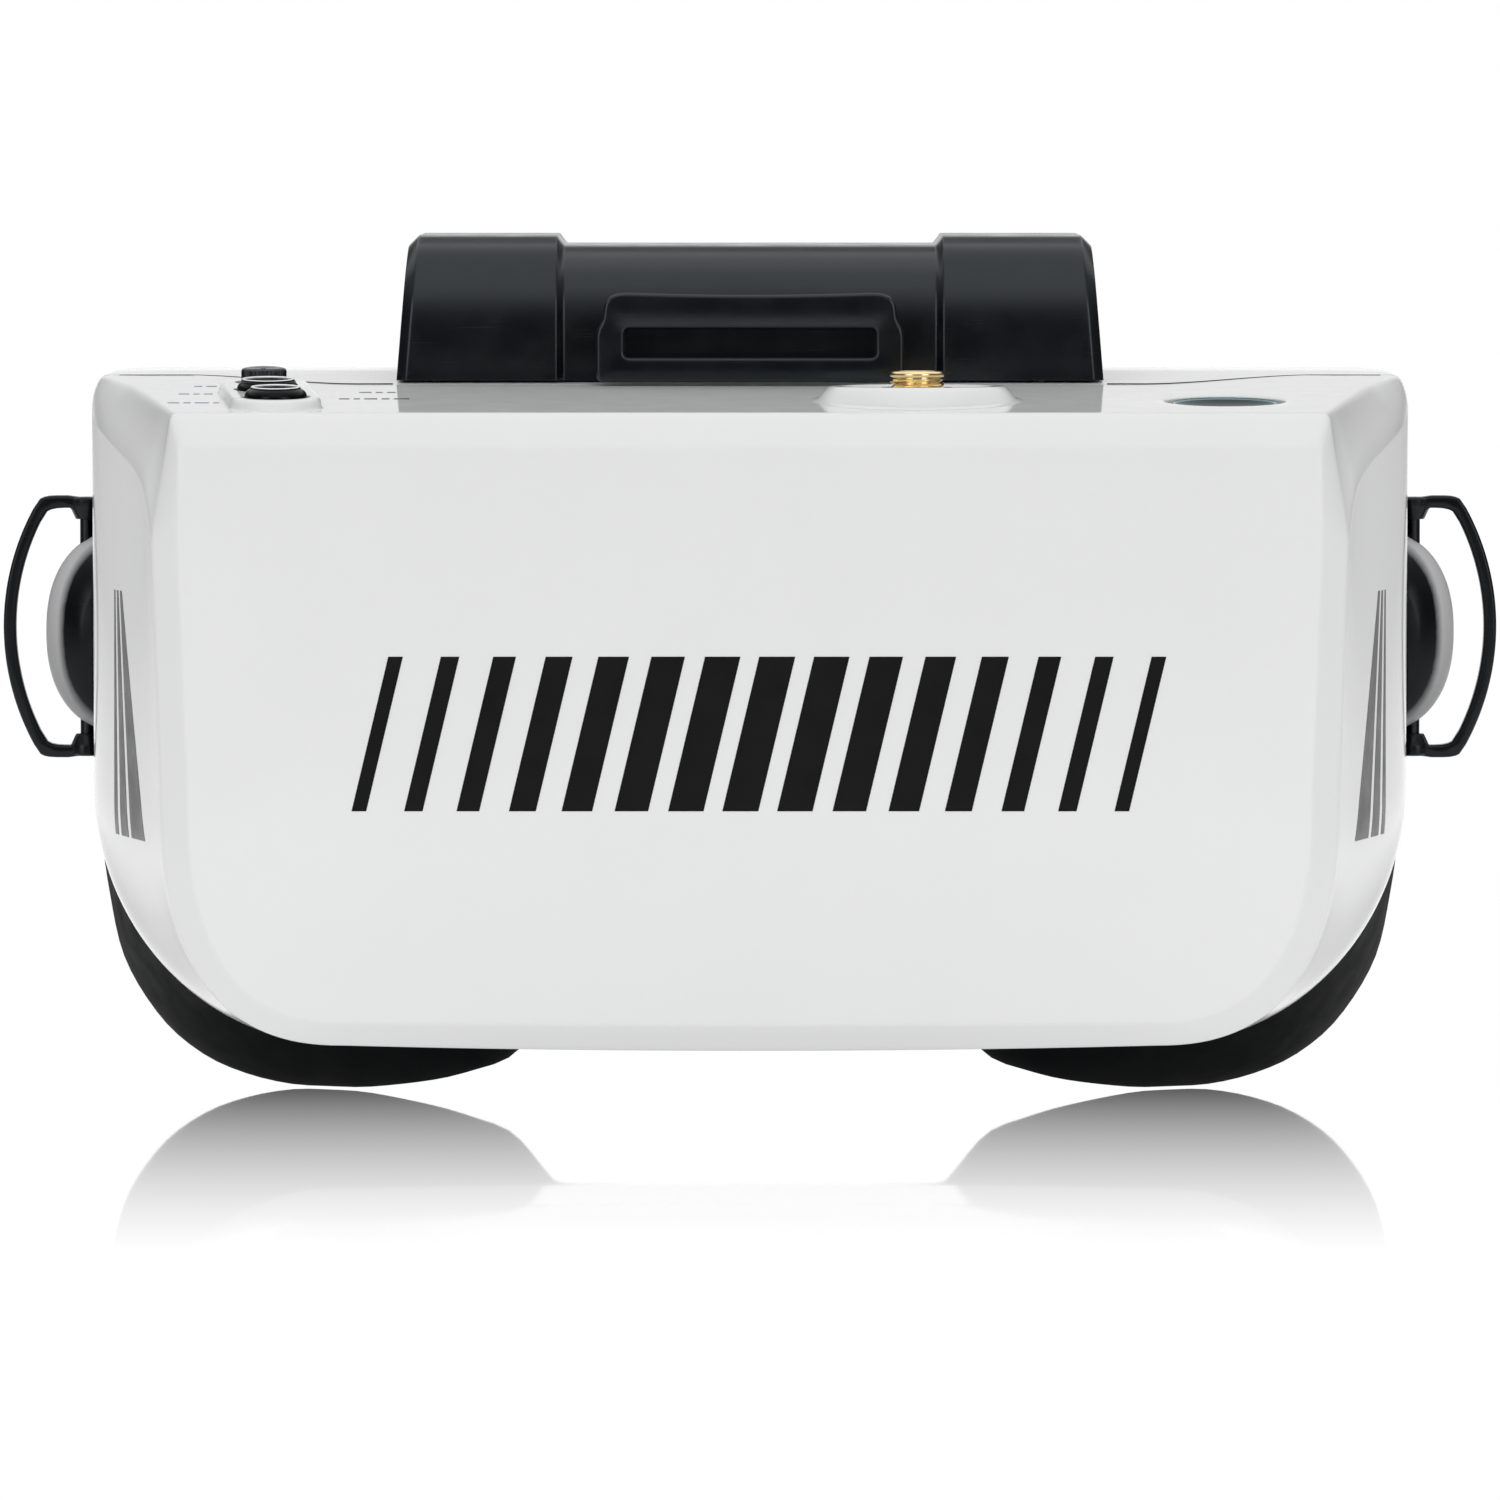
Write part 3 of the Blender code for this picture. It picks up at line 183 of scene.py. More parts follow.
def spline(points, pieces):
    """Evenly spaced points on a smooth open curve through points."""
    pts = [Vector(p) for p in points]
    pts = [pts[0] * 2 - pts[1]] + pts + [pts[-1] * 2 - pts[-2]]
    fine = [catmull_rom(*pts[i - 1:i + 3], k / 12) for i in range(1, len(pts) - 2) for k in range(12)]
    return spaced(fine + [pts[-2]], pieces)


def closed_curve(points, hard, pieces):
    """Curve through points, broken at the indices in hard, with that many pieces per span."""
    out, count = [], len(points)
    for i in range(count):
        a, b, c, d = (Vector(points[(i + k) % count]) for k in (-1, 0, 1, 2))
        if i in hard:
            a = b * 2 - c
        if (i + 1) % count in hard:
            d = c * 2 - b
        out += [tuple(catmull_rom(a, b, c, d, k / pieces)) for k in range(pieces)]
    return out


def smooth_line(table, x):
    """Monotone cubic through the table's (x, y) rows, flat outside it."""
    if x <= table[0][0]:
        return table[0][1]
    if x >= table[-1][0]:
        return table[-1][1]
    n = len(table)
    step = [table[i + 1][0] - table[i][0] for i in range(n - 1)]
    slope = [(table[i + 1][1] - table[i][1]) / step[i] for i in range(n - 1)]
    tangent = [slope[0]]
    for a, b in zip(slope, slope[1:]):
        tangent.append(0 if a * b <= 0 else 2 * a * b / (a + b))
    tangent.append(slope[-1])
    i = max(k for k in range(n - 1) if table[k][0] <= x)
    t = (x - table[i][0]) / step[i]
    return ((2 * t**3 - 3 * t**2 + 1) * table[i][1]
            + (t**3 - 2 * t**2 + t) * step[i] * tangent[i]
            + (-2 * t**3 + 3 * t**2) * table[i + 1][1]
            + (t**3 - t**2) * step[i] * tangent[i + 1])


def rounded_corner(corner, before, after, reach, pieces):
    """pieces + 1 points rounding a corner between its neighbours."""
    p, a, b = Vector(corner), Vector(before), Vector(after)
    start = p + (a - p).normalized() * min(reach, (a - p).length * 0.45)
    end = p + (b - p).normalized() * min(reach, (b - p).length * 0.45)
    return [bezier(start, p, end, i / pieces) for i in range(pieces + 1)]


# ---------------------------------------------------------------- closed outlines
def polar(x, y, radii):
    """Outline round (x, y) with one radius per point."""
    count = len(radii)
    return [(x + r * math.cos(2 * math.pi * i / count), y + r * math.sin(2 * math.pi * i / count))
            for i, r in enumerate(radii)]


def circle(x, y, radius, count=96):
    return polar(x, y, [radius] * count)


def rounded_rect(width, height, r, pieces=10):
    """Corner-rounded rectangle about the origin."""
    x, y = width / 2 - r, height / 2 - r
    pts = []
    for cx, cy, start in ((x, y, 0), (-x, y, 90), (-x, -y, 180), (x, -y, 270)):
        for i in range(pieces + 1):
            a = math.radians(start + 90 * i / pieces)
            pts.append((cx + r * math.cos(a), cy + r * math.sin(a)))
    return pts


def capsule(start, end, r, pieces=22):
    """Outline round two centres."""
    along = math.atan2(end[1] - start[1], end[0] - start[0])
    pts = []
    for (cx, cy), turn in ((end, -math.pi / 2), (start, math.pi / 2)):
        for i in range(pieces + 1):
            a = along + turn + math.pi * i / pieces
            pts.append((cx + r * math.cos(a), cy + r * math.sin(a)))
    return pts


def offset2d(pts, dist):
    """Closed outline moved inwards by dist, along vertex normals."""
    if abs(dist) <= 1e-6:
        return pts
    n = len(pts)
    area = sum(pts[i][0] * pts[(i + 1) % n][1] - pts[(i + 1) % n][0] * pts[i][1] for i in range(n))
    sign = 1 if area > 0 else -1
    out = []
    for i in range(n):
        a, b, c = Vector(pts[i - 1]), Vector(pts[i]), Vector(pts[(i + 1) % n])
        u, v = (b - a), (c - b)
        if u.length < 1e-9:
            u = v
        if v.length < 1e-9:
            v = u
        u.normalize()
        v.normalize()
        normal_u, normal_v = Vector((-u.y, u.x)) * sign, Vector((-v.y, v.x)) * sign
        m = normal_u + normal_v
        m = m / max(m.length_squared, 0.6) * 2 if m.length > 1e-6 else normal_u
        out.append(tuple(b + m * dist))
    return out


def full(half):
    """Outline from its +x half, which runs from the top middle to the bottom middle."""
    return half + [(-x, z) for x, z in reversed(half[1:-1])]


# ---------------------------------------------------------------- rings and solids
def at_depth(outline, d):
    return [(x, d, z) for x, z in outline]


def at_height(plan, z):
    return [(x, d, z) for x, d in plan]


def mirrored(ring, side):
    return [(side * x, d, z) for x, d, z in ring]


def loft(rings, closed=False, across=None):
    """(points, faces) between rings of equal count. closed joins the last ring to the first.

    across gives each ring's place from the outer edge to the inner one: its quads are then
    split along the same diagonal, so that stacked twisted faces stay parallel.
    """
    n, last = len(rings[0]), len(rings) - 1
    faces = []
    pairs = [(k, k + 1) for k in range(last)]
    if closed:
        pairs.append((last, 0))
    for a, b in pairs:
        for i in range(n):
            j = (i + 1) % n
            ai, aj, bi, bj = a * n + i, a * n + j, b * n + i, b * n + j
            if across is None:
                faces.append((ai, aj, bj, bi))
            elif across[a] < across[b]:
                faces += [(ai, aj, bi), (aj, bj, bi)]
            else:
                faces += [(ai, aj, bj), (ai, bj, bi)]
    if not closed:
        faces.append(tuple(reversed(range(n))))
        faces.append(tuple(range(last * n, (last + 1) * n)))
    return [point for ring in rings for point in ring], faces


def prism(plan, z0, z1):
    return loft([at_height(plan, z0), at_height(plan, z1)])


def box(x0, x1, d0, d1, z0, z1):
    return prism([(x0, d0), (x1, d0), (x1, d1), (x0, d1)], z0, z1)


def placed_ring(radii, height, place):
    return [tuple(place @ Vector(p)) for p in at_height(polar(0.0, 0.0, radii), height)]


def turned(profile, count, place, closed=False):
    """Solid of revolution from (radius, height) rows; a closed profile makes a hollow ring."""
    return loft([placed_ring([r] * count, h, place) for r, h in profile], closed)


def upright(x, d):
    return Matrix.Translation((x, d, 0))


def along_depth(x, d, z):
    """Local +Z points along +depth."""
    return Matrix.Translation((x, d, z)) @ Matrix.Rotation(-math.pi / 2, 4, "X")


def rounded_edge(d0, d1, r, pieces=4):
    """(inset, depth) rows of a plate's edge, rounded at both faces."""
    rows = []
    for i in range(pieces + 1):
        a = math.pi / 2 * i / pieces
        rows.append((r * (1 - math.sin(a)), d0 + r * (1 - math.cos(a))))
    return rows + [(inset, d1 - (d - d0)) for inset, d in reversed(rows)]


# ---------------------------------------------------------------- materials
MATERIALS = {}   # by name


class Graph:
    """A shader node tree, with short ways to add to it."""

    def __init__(self, tree):
        self.tree = tree
        self.bsdf = tree.nodes.get("Principled BSDF")

    def feed(self, node, inputs):
        """Set each input, by name or index, to a value, or link it to a socket."""
        for key, value in inputs.items():
            socket = node.inputs[key]
            if isinstance(value, bpy.types.NodeSocket):
                self.tree.links.new(value, socket)
            elif socket.type == "RGBA":
                socket.default_value = (*value, 1.0)
            else:
                socket.default_value = value

    def node(self, kind, inputs, **settings):
        node = self.tree.nodes.new("ShaderNode" + kind)
        for key, value in settings.items():
            setattr(node, key, value)
        self.feed(node, inputs)
        return node

    def use_millimetres(self):
        """Object coordinates in millimetres, as self.mm."""
        place = self.node("TexCoord", {}).outputs["Object"]
        inputs = {0: place, "Scale": 1000.0}
        self.mm = self.node("VectorMath", inputs, operation="SCALE").outputs[0]

    def noise(self, scale, detail=4.0, vector=None):
        inputs = {"Scale": scale, "Detail": detail, "Roughness": 0.55,
                  "Vector": self.mm if vector is None else vector}
        return self.node("TexNoise", inputs).outputs["Fac"]

    def remap(self, value, low, high, to_low=0.0, to_high=1.0):
        inputs = {"From Min": low, "From Max": high, "To Min": to_low, "To Max": to_high,
                  "Value": value}
        return self.node("MapRange", inputs).outputs["Result"]

    def calc(self, operation, first, *others):
        """Fold the values with a Math operation."""
        for other in others or (0.0,):
            first = self.node("Math", {0: first, 1: other}, operation=operation).outputs[0]
        return first

    def mix(self, factor, a, b):
        inputs = {"Factor": factor, "A": a, "B": b}
        return self.node("Mix", inputs, data_type="RGBA").outputs["Result"]

    def xyz(self, vector):
        return self.node("SeparateXYZ", {0: vector}).outputs


def new_material(name):
    material = bpy.data.materials.new(name)
    material.use_nodes = True
    MATERIALS[name] = material
    graph = Graph(material.node_tree)
    graph.use_millimetres()
    return graph


def solid(name, color, roughness, metal=0.0, coat=0.0, coat_roughness=0.05, specular=0.5,
          tint=(1.0, 1.0, 1.0), mottle=0.04, mottle_mm=14.0, spread=0.08, grain=0.02, grain_mm=0.35,
          edge=0.18, wear=0.0, wear_color=(0.3, 0.3, 0.3), scratch=0.0, anisotropy=0.0):
    """Plastic, metal or rubber.

    mottle is the share by which colour drifts, over patches of mottle_mm; spread is how far
    roughness drifts. grain is the height of a bump of size grain_mm, and edge the radius the
    shading rounds edges by, all in mm. wear mixes wear_color in along the edges, and scratch
    is the roughness added along hairlines.
    """
    graph = new_material(name)
    patches, grains = graph.noise(1.0 / mottle_mm), graph.noise(1.0 / grain_mm, detail=3.0)
    dark = tuple(max(0.0, c * (1 - mottle)) for c in color)
    light = tuple(min(1.0, c * (1 + mottle)) for c in color)
    shown = graph.mix(graph.remap(patches, 0.3, 0.7), dark, light)
    rough = graph.remap(graph.noise(0.22, detail=5.0), 0.3, 0.7,
                        max(0.0, roughness - spread), min(1.0, roughness + spread))
    if scratch:
        # noise stretched into long streaks, of which only the peaks count
        streaks = graph.node("Mapping", {"Vector": graph.mm, "Scale": (0.06, 0.06, 2.6),
                                         "Rotation": (0.5, 0.9, 0.3)}).outputs[0]
        lines = graph.remap(graph.noise(1.6, detail=2.0, vector=streaks), 0.68, 0.76)
        rough = graph.calc("ADD", rough, graph.calc("MULTIPLY", lines, scratch))
    rounded = graph.node("Bevel", {"Radius": edge * MM}, samples=4).outputs[0]
    if wear:
        # an edge is where the rounded normal leaves the true one
        normal = graph.node("NewGeometry", {}).outputs["Normal"]
        dot = graph.node("VectorMath", {0: rounded, 1: normal}, operation="DOT_PRODUCT")
        mask = graph.remap(dot.outputs["Value"], 0.97, 0.8)
        rubbed = graph.remap(graph.noise(0.5), 0.4, 0.65, 0.0, wear)
        shown = graph.mix(graph.calc("MULTIPLY", mask, rubbed), shown, wear_color)
    bump = graph.node("Bump", {"Strength": 1.0, "Distance": grain * MM, "Height": grains,
                               "Normal": rounded})
    graph.feed(graph.bsdf, {
        "Base Color": shown, "Roughness": rough, "Normal": bump.outputs[0], "Metallic": metal,
        "Coat Weight": coat, "Coat Roughness": coat_roughness, "Specular IOR Level": specular,
        "Specular Tint": tint, "IOR": 1.46, "Anisotropic": anisotropy})


def cloth(name, color, pitch=0.55, depth=0.12, fuzz=0.05, sheen=0.5):
    """Knitted face: two crossed ribs of thread (pitch and depth in mm), lint and colour drift."""
    graph = new_material(name)
    ribs = []
    for rotation in ((0.0, 0.0, 0.8), (0.0, 0.9, -0.75)):
        turned_mm = graph.node("Mapping", {"Rotation": rotation, "Vector": graph.mm}).outputs[0]
        wave = graph.node("TexWave", {"Scale": 0.314 / pitch, "Distortion": 1.2, "Detail": 2.0,
                                      "Detail Scale": 2.0, "Vector": turned_mm})
        ribs.append(wave.outputs["Fac"])
    knit = graph.calc("MULTIPLY", *ribs)
    lint = graph.noise(5.0, detail=3.0)
    height = graph.calc("ADD", graph.calc("MULTIPLY", knit, depth),
                        graph.calc("MULTIPLY", lint, fuzz))
    drift = graph.noise(0.06)
    dark, light = tuple(c * 0.6 for c in color), tuple(min(1.0, c * 1.7 + 0.006) for c in color)
    lightness = graph.calc("ADD", graph.calc("MULTIPLY", knit, 0.7),
                           graph.calc("MULTIPLY", drift, 0.4))
    bump = graph.node("Bump", {"Strength": 1.0, "Distance": 1.0 * MM, "Height": height})
    graph.feed(graph.bsdf, {
        "Base Color": graph.mix(lightness, dark, light), "Normal": bump.outputs[0],
        "Roughness": graph.remap(lint, 0.3, 0.7, 0.8, 0.98), "Sheen Weight": sheen,
        "Sheen Roughness": 0.4, "Specular IOR Level": 0.2})


def board_green():
    """Circuit board with raised tracks between square cells."""
    graph = new_material("board_green")
    cells = graph.node("TexVoronoi", {"Scale": 0.45, "Vector": graph.mm},
                       distance="CHEBYCHEV", feature="DISTANCE_TO_EDGE")
    tracks = graph.remap(cells.outputs["Distance"], 0.03, 0.06)
    bump = graph.node("Bump", {"Distance": 0.03 * MM, "Height": tracks}, invert=True)
    graph.feed(graph.bsdf, {
        "Base Color": graph.mix(tracks, (0.03, 0.2, 0.08), (0.008, 0.075, 0.03)),
        "Normal": bump.outputs[0],
        "Roughness": graph.remap(graph.noise(0.3), 0.3, 0.7, 0.25, 0.4)})


def lens_acrylic():
    graph = new_material("lens_acrylic")
    graph.feed(graph.bsdf, {
        "Roughness": graph.remap(graph.noise(0.05), 0.3, 0.7, 0.0, 0.02),
        "Transmission Weight": 1.0, "IOR": 1.49, "Base Color": (0.97, 0.985, 0.98)})


def boss_painted_reflection():
    """Gloss black in the middle; towards the outer rim a painted reflection, satin grey growing
    lighter upwards, for the white surroundings mirrored at the dome's edge.
    """
    material = MATERIALS["black_gloss"].copy()
    material.name = "boss_painted_reflection"
    MATERIALS["boss_painted_reflection"] = material
    graph = Graph(material.node_tree)
    graph.use_millimetres()
    calc = graph.calc
    place = graph.xyz(graph.mm)
    # distance from the middle of the boss, as a share of its half width and half height
    out = calc("DIVIDE", calc("SUBTRACT", calc("ABSOLUTE", place["X"]), BOSS_X), 7.7)
    up = calc("DIVIDE", calc("ABSOLUTE", calc("SUBTRACT", place["Z"], BOSS_Z)), 11.0)
    reach = calc("ADD", calc("POWER", out, BOSS_POWER), calc("POWER", up, BOSS_POWER))
    reach = calc("ADD", reach, graph.remap(graph.noise(0.9), 0.0, 1.0, -0.03, 0.03))
    mask = graph.remap(reach, 0.93, 1.2)
    black, rough = (graph.bsdf.inputs[key].links[0].from_socket
                    for key in ("Base Color", "Roughness"))
    # painted reflection: grey on the outer rim, lighter towards the top, standing in for the white
    # surroundings the glossy dome mirrors there
    grey = graph.mix(graph.remap(place["Z"], 46.0, 66.0), (0.36, 0.36, 0.365), (0.6, 0.6, 0.61))
    graph.feed(graph.bsdf, {
        "Base Color": graph.mix(mask, black, grey),
        "Roughness": calc("ADD", rough, calc("MULTIPLY", mask, 0.2)),
        "Specular IOR Level": 0.2})


COOL = (0.87, 0.945, 1.0)   # highlights on the blacks

# plastics
solid("white_gloss", color=(0.86, 0.862, 0.866), roughness=0.09, specular=0.29, mottle=0.006,
      spread=0.03, grain=0.0006, grain_mm=0.9, edge=0.22, scratch=0.04)
solid("black_satin", color=(0.0032, 0.0041, 0.0054), roughness=0.21, specular=0.6, tint=COOL,
      mottle=0.1, spread=0.05, grain=0.006, grain_mm=0.22, edge=0.2, wear=0.35,
      wear_color=(0.03, 0.031, 0.034), scratch=0.1)
solid("black_gloss", color=(0.0045, 0.005, 0.006), roughness=0.22, specular=0.32, tint=COOL,
      mottle=0.08, spread=0.03, grain=0.002, grain_mm=0.3, edge=0.2, wear=0.2,
      wear_color=(0.03, 0.03, 0.032), scratch=0.08)
solid("black_matt", color=(0.0036, 0.0039, 0.0045), roughness=0.6, specular=0.04, tint=COOL,
      mottle=0.1, spread=0.06, grain_mm=0.3, edge=0.25, wear=0.3, wear_color=(0.04, 0.04, 0.042))
solid("connector_insulator", color=(0.86, 0.85, 0.8), roughness=0.45, mottle=0.02, grain=0.003)
solid("panel_black", color=(0.006, 0.006, 0.008), roughness=0.06, coat=1.0, coat_roughness=0.02,
      mottle=0.1, grain=0.0, edge=0.1)
solid("button_teal", color=(0.022, 0.045, 0.052), roughness=0.25, specular=0.2, mottle=0.05,
      grain=0.002, edge=0.15)
solid("ring_teal", color=(0.09, 0.24, 0.26), roughness=0.25, coat=0.5, edge=0.05)
solid("button_gloss", color=(0.003, 0.0034, 0.0042), roughness=0.1, specular=0.14, mottle=0.08,
      spread=0.02, grain=0.001, edge=0.08)
# painted shadow: this dark bead stands in for the shade in the shell's seam
solid("painted_seam_shadow", color=(0.02, 0.02, 0.022), roughness=0.5, specular=0.2, mottle=0.1,
      grain=0.004, edge=0.04)
solid("display_active", color=(0.004, 0.0045, 0.007), roughness=0.12, coat=1.0,
      coat_roughness=0.03, mottle=0.2, grain=0.0)
solid("cell_sleeve", color=(0.04, 0.17, 0.33), roughness=0.28, coat=0.3, mottle=0.05,
      grain=0.006, grain_mm=0.6)
solid("cable_black", color=(0.016, 0.016, 0.017), roughness=0.5, mottle=0.1, grain=0.01)
solid("wire_red", color=(0.42, 0.012, 0.01), roughness=0.42, mottle=0.06, grain=0.008)
solid("flex_amber", color=(0.42, 0.2, 0.03), roughness=0.3, coat=0.4, mottle=0.1, grain=0.003)
# metals
solid("gold_plate", color=(0.93, 0.74, 0.4), roughness=0.16, metal=1.0, mottle=0.05,
      mottle_mm=3.0, grain=0.003, grain_mm=0.15, edge=0.08, anisotropy=0.4)
solid("screw_steel", color=(0.4, 0.4, 0.41), roughness=0.32, metal=1.0, mottle=0.06,
      mottle_mm=2.0, grain=0.004, grain_mm=0.12, edge=0.08, anisotropy=0.5)
solid("pin_dark_steel", color=(0.035, 0.036, 0.04), roughness=0.3, metal=1.0, mottle=0.08,
      mottle_mm=2.0, grain=0.003, edge=0.06)
solid("nickel_spring", color=(0.66, 0.64, 0.6), roughness=0.25, metal=1.0, grain=0.003, edge=0.05)
solid("shield_can", color=(0.62, 0.62, 0.63), roughness=0.3, metal=1.0, mottle_mm=4.0,
      grain=0.004, scratch=0.15, edge=0.15)
# painted highlight: near-white band laid on each button's ring for the glint its glossy rim catches
solid("painted_ring_highlight", color=(0.93, 0.935, 0.945), roughness=0.16, metal=0.35, edge=0.03)
# inks
solid("print_black", color=(0.004, 0.004, 0.0045), roughness=0.35, specular=0.2, mottle=0.06,
      grain=0.001, edge=0.03)
solid("print_grey", color=(0.1, 0.1, 0.104), roughness=0.35, grain=0.001, edge=0.03)
solid("print_slate", color=(0.2, 0.23, 0.3), roughness=0.35, grain=0.001, edge=0.03)
# fabrics
cloth("foam_fabric", color=(0.017, 0.017, 0.019))
cloth("foam_piping", color=(0.011, 0.011, 0.012), pitch=0.35, depth=0.1, sheen=0.3)
cloth("hook_tape", color=(0.02, 0.02, 0.021), pitch=0.8, depth=0.4, fuzz=0.25, sheen=0.1)
board_green()
lens_acrylic()
boss_painted_reflection()

for node in frame["nodes"].values():
    node.data.materials.clear()
for part in frame["record"]["subparts"]:
    frame["nodes"][part["node"]].data.materials.append(MATERIALS[part["material_slot"]])


# ---------------------------------------------------------------- shell outline
# pieces per half outline: top, top edge round, corner facet, facet round, side,
# lower corner, underside
SHELL_PIECES = (14, 4, 6, 6, 16, 34, 26)

# (depth, value) rows along the shell
EDGE_X = [(3.5, 66.0), (8, 66.8), (21, 68.9), (35, 71.6), (41, 73.7), (46, 75.4), (50, 76.2),
          (56, 75.4), (66, 73.2), (80, 71.0)]
FACET_Z = [(3.5, 70.0), (5.6, 72.2), (8.8, 76.0), (14.2, 78.5), (23.2, 80.6), (34.5, 82.6),
           (46, 84.2), (50, 85.0), (60, 84.0), (80, 81.0)]
SIDE_X = [(3.5, 68.2), (50, 77.1), (62, 77.4), (80, 76.9)]
TOP_Z = [(3.5, FRONT_TOP_Z), (50, SEAM_TOP_Z), (60, 88.1), (68, 88.1), (80, 86.8)]
LOW_Z = [(3.5, 12.0), (50, 10.5), (80, 10.5)]
CORNER_X = [(3.5, 21.3), (50, 26.0), (80, 27.0)]
CORNER_Z = [(3.5, 28.0), (50, 29.0), (80, 31.0)]
CORNER_POWER = [(3.5, 2.5), (50, 2.0), (80, 2.0)]


def top_z(d):
    if d < SEAM:
        return FRONT_TOP_Z + (d - BEVEL_DEPTH) * math.tan(TOP_SLOPE)
    return smooth_line(TOP_Z, d)


def shell_section(top, edge_x, facet, side_x, low, sag, corner, edge_round, facet_round):
    """Outline of a flat top, facet, leaning side, superellipse corner and sagging underside."""
    n_top, n_edge, n_facet, n_round, n_side, n_corner, n_under = SHELL_PIECES
    corner_x, corner_z, power = corner
    side_low = (side_x, low + corner_z)

    def straight(a, b, n):
        return [(a[0] + (b[0] - a[0]) * i / n, a[1] + (b[1] - a[1]) * i / n) for i in range(n)]

    edge_arc = rounded_corner((edge_x, top), (0.0, top), facet, edge_round, n_edge)
    facet_arc = rounded_corner(facet, (edge_x, top), side_low, facet_round, n_round)
    pts = [(edge_arc[0][0] * i / n_top, top) for i in range(n_top)] + edge_arc[:-1]
    pts += straight(edge_arc[-1], facet_arc[0], n_facet) + facet_arc[:-1]
    pts += straight(facet_arc[-1], side_low, n_side)
    flat_x = side_x - corner_x
    for i in range(n_corner):
        a = math.pi / 2 * i / n_corner
        pts.append((flat_x + corner_x * math.cos(a) ** (2 / power),
                    low + corner_z - corner_z * math.sin(a) ** (2 / power)))
    for i in range(n_under + 1):
        x = flat_x * (1 - i / n_under)
        pts.append((x, low - sag * (1 - (x / flat_x) ** 2)))
    return full(pts)


def outline(d, inset=0.0):
    """Section of the shell at depth d, moved in by inset."""
    side_x = smooth_line(SIDE_X, d)
    lean = max(0.0, 1 - (d - BEVEL_DEPTH) / (SEAM - BEVEL_DEPTH))
    return shell_section(
        top=top_z(d) - inset,
        edge_x=smooth_line(EDGE_X, d) - inset * 0.35,
        facet=(side_x + 0.15 * (1 - lean) - inset, smooth_line(FACET_Z, d) - inset * 0.4),
        side_x=side_x - lean - inset, low=smooth_line(LOW_Z, d) + inset, sag=0.6,
        corner=(smooth_line(CORNER_X, d) - inset, smooth_line(CORNER_Z, d) - inset,
                smooth_line(CORNER_POWER, d)),
        edge_round=1.0, facet_round=1.6)


def face_outline(inset=0.0):
    """Edge of the flat front."""
    return shell_section(
        top=80.5 - inset, edge_x=65.0 - inset * 0.5, facet=(65.1 - inset, 70.0 - inset * 0.3),
        side_x=63.9 - inset, low=14.85 + inset, sag=0.3, corner=(18.0 - inset, 25.0 - inset, 2.5),
        edge_round=1.2, facet_round=2.0)


def bevel_ring(t):
    """Ring on the bevel; along the top it starts at a crease and runs smoothly into the top."""
    face, shell = face_outline(), outline(BEVEL_DEPTH)
    n_top, n_edge, n_facet, n_round = SHELL_PIECES[:4]
    count, top_end, fade = len(face), n_top + n_edge, n_facet + n_round * 0.5
    ring = []
    for i, (a, b) in enumerate(zip(face, shell)):
        k = min(i, count - i)
        w = 1.0 if k <= top_end else max(0.0, 1 - (k - top_end) / fade)
        out = w * t * (2 - t) + (1 - w) * t
        back = w * t * (1.2 - 0.2 * t) + (1 - w) * t
        ring.append((lerp(a[0], b[0], out), BEVEL_DEPTH * back, lerp(a[1], b[1], out)))
    return ring


def shell_rings(d0, d1):
    """Outer rings of the shell, about 1.5 mm apart."""
    n = max(1, round((d1 - d0) / 1.5))
    depths = [d0 + (d1 - d0) * i / n for i in range(n + 1)]
    return [at_depth(outline(d), d) for d in depths]


def on_top(x, d):
    """Frame standing square on the sloping top of the front shell."""
    return Matrix.Translation((x, d, top_z(d))) @ Matrix.Rotation(TOP_SLOPE, 4, "X")


def on_slope(plan, h):
    """Ring a height h above the sloping top."""
    return [(x, d, top_z(d) + h) for x, d in plan]


def seam_line(grow, pieces=28):
    """The seam's sweep from the tongue out to the side, moved forward by grow."""
    pts = []
    for i in range(pieces + 1):
        t = i / pieces
        x, d = SWEEP_IN + (SWEEP_OUT - SWEEP_IN) * t, TONGUE + (SEAM - TONGUE) * (3 * t * t - 2 * t**3)
        slope = (SEAM - TONGUE) * (6 * t - 6 * t * t) / (SWEEP_OUT - SWEEP_IN)
        k = 1 / math.sqrt(1 + slope * slope)
        pts.append((x + grow * slope * k, d - grow * k))
    return pts


def both_sides(right):
    """Closed plan from its right half."""
    return right + [(-x, d) for x, d in reversed(right)]


# ---------------------------------------------------------------- front shell
# (radius, height above the top) of the pill-shaped rise under the buttons and dial
PILL_RISE = [(5.55, -1.2), (5.5, -0.02), (5.36, 0.08), (5.26, 0.25), (5.2, 0.6), (5.14, 0.9),
             (5.02, 1.12), (4.84, 1.25), (4.6, 1.3)]
# antenna pedestal: (radius, height above the top), then two runs of (radius, z)
PEDESTAL_FOOT = [(12.1, -1.2), (12.1, 0.02), (11.75, 0.1), (11.4, 0.25)]
PEDESTAL_RISE = [(10.75, 86.3), (10.5, 86.62), (10.3, 86.84), (10.08, 86.96), (9.85, 87.0),
                 (8.85, 87.0), (8.65, 86.92)]
PEDESTAL_DISH = [(8.5, 86.7), (8.3, 85.75), (8.05, 85.5), (7.7, 85.45)]


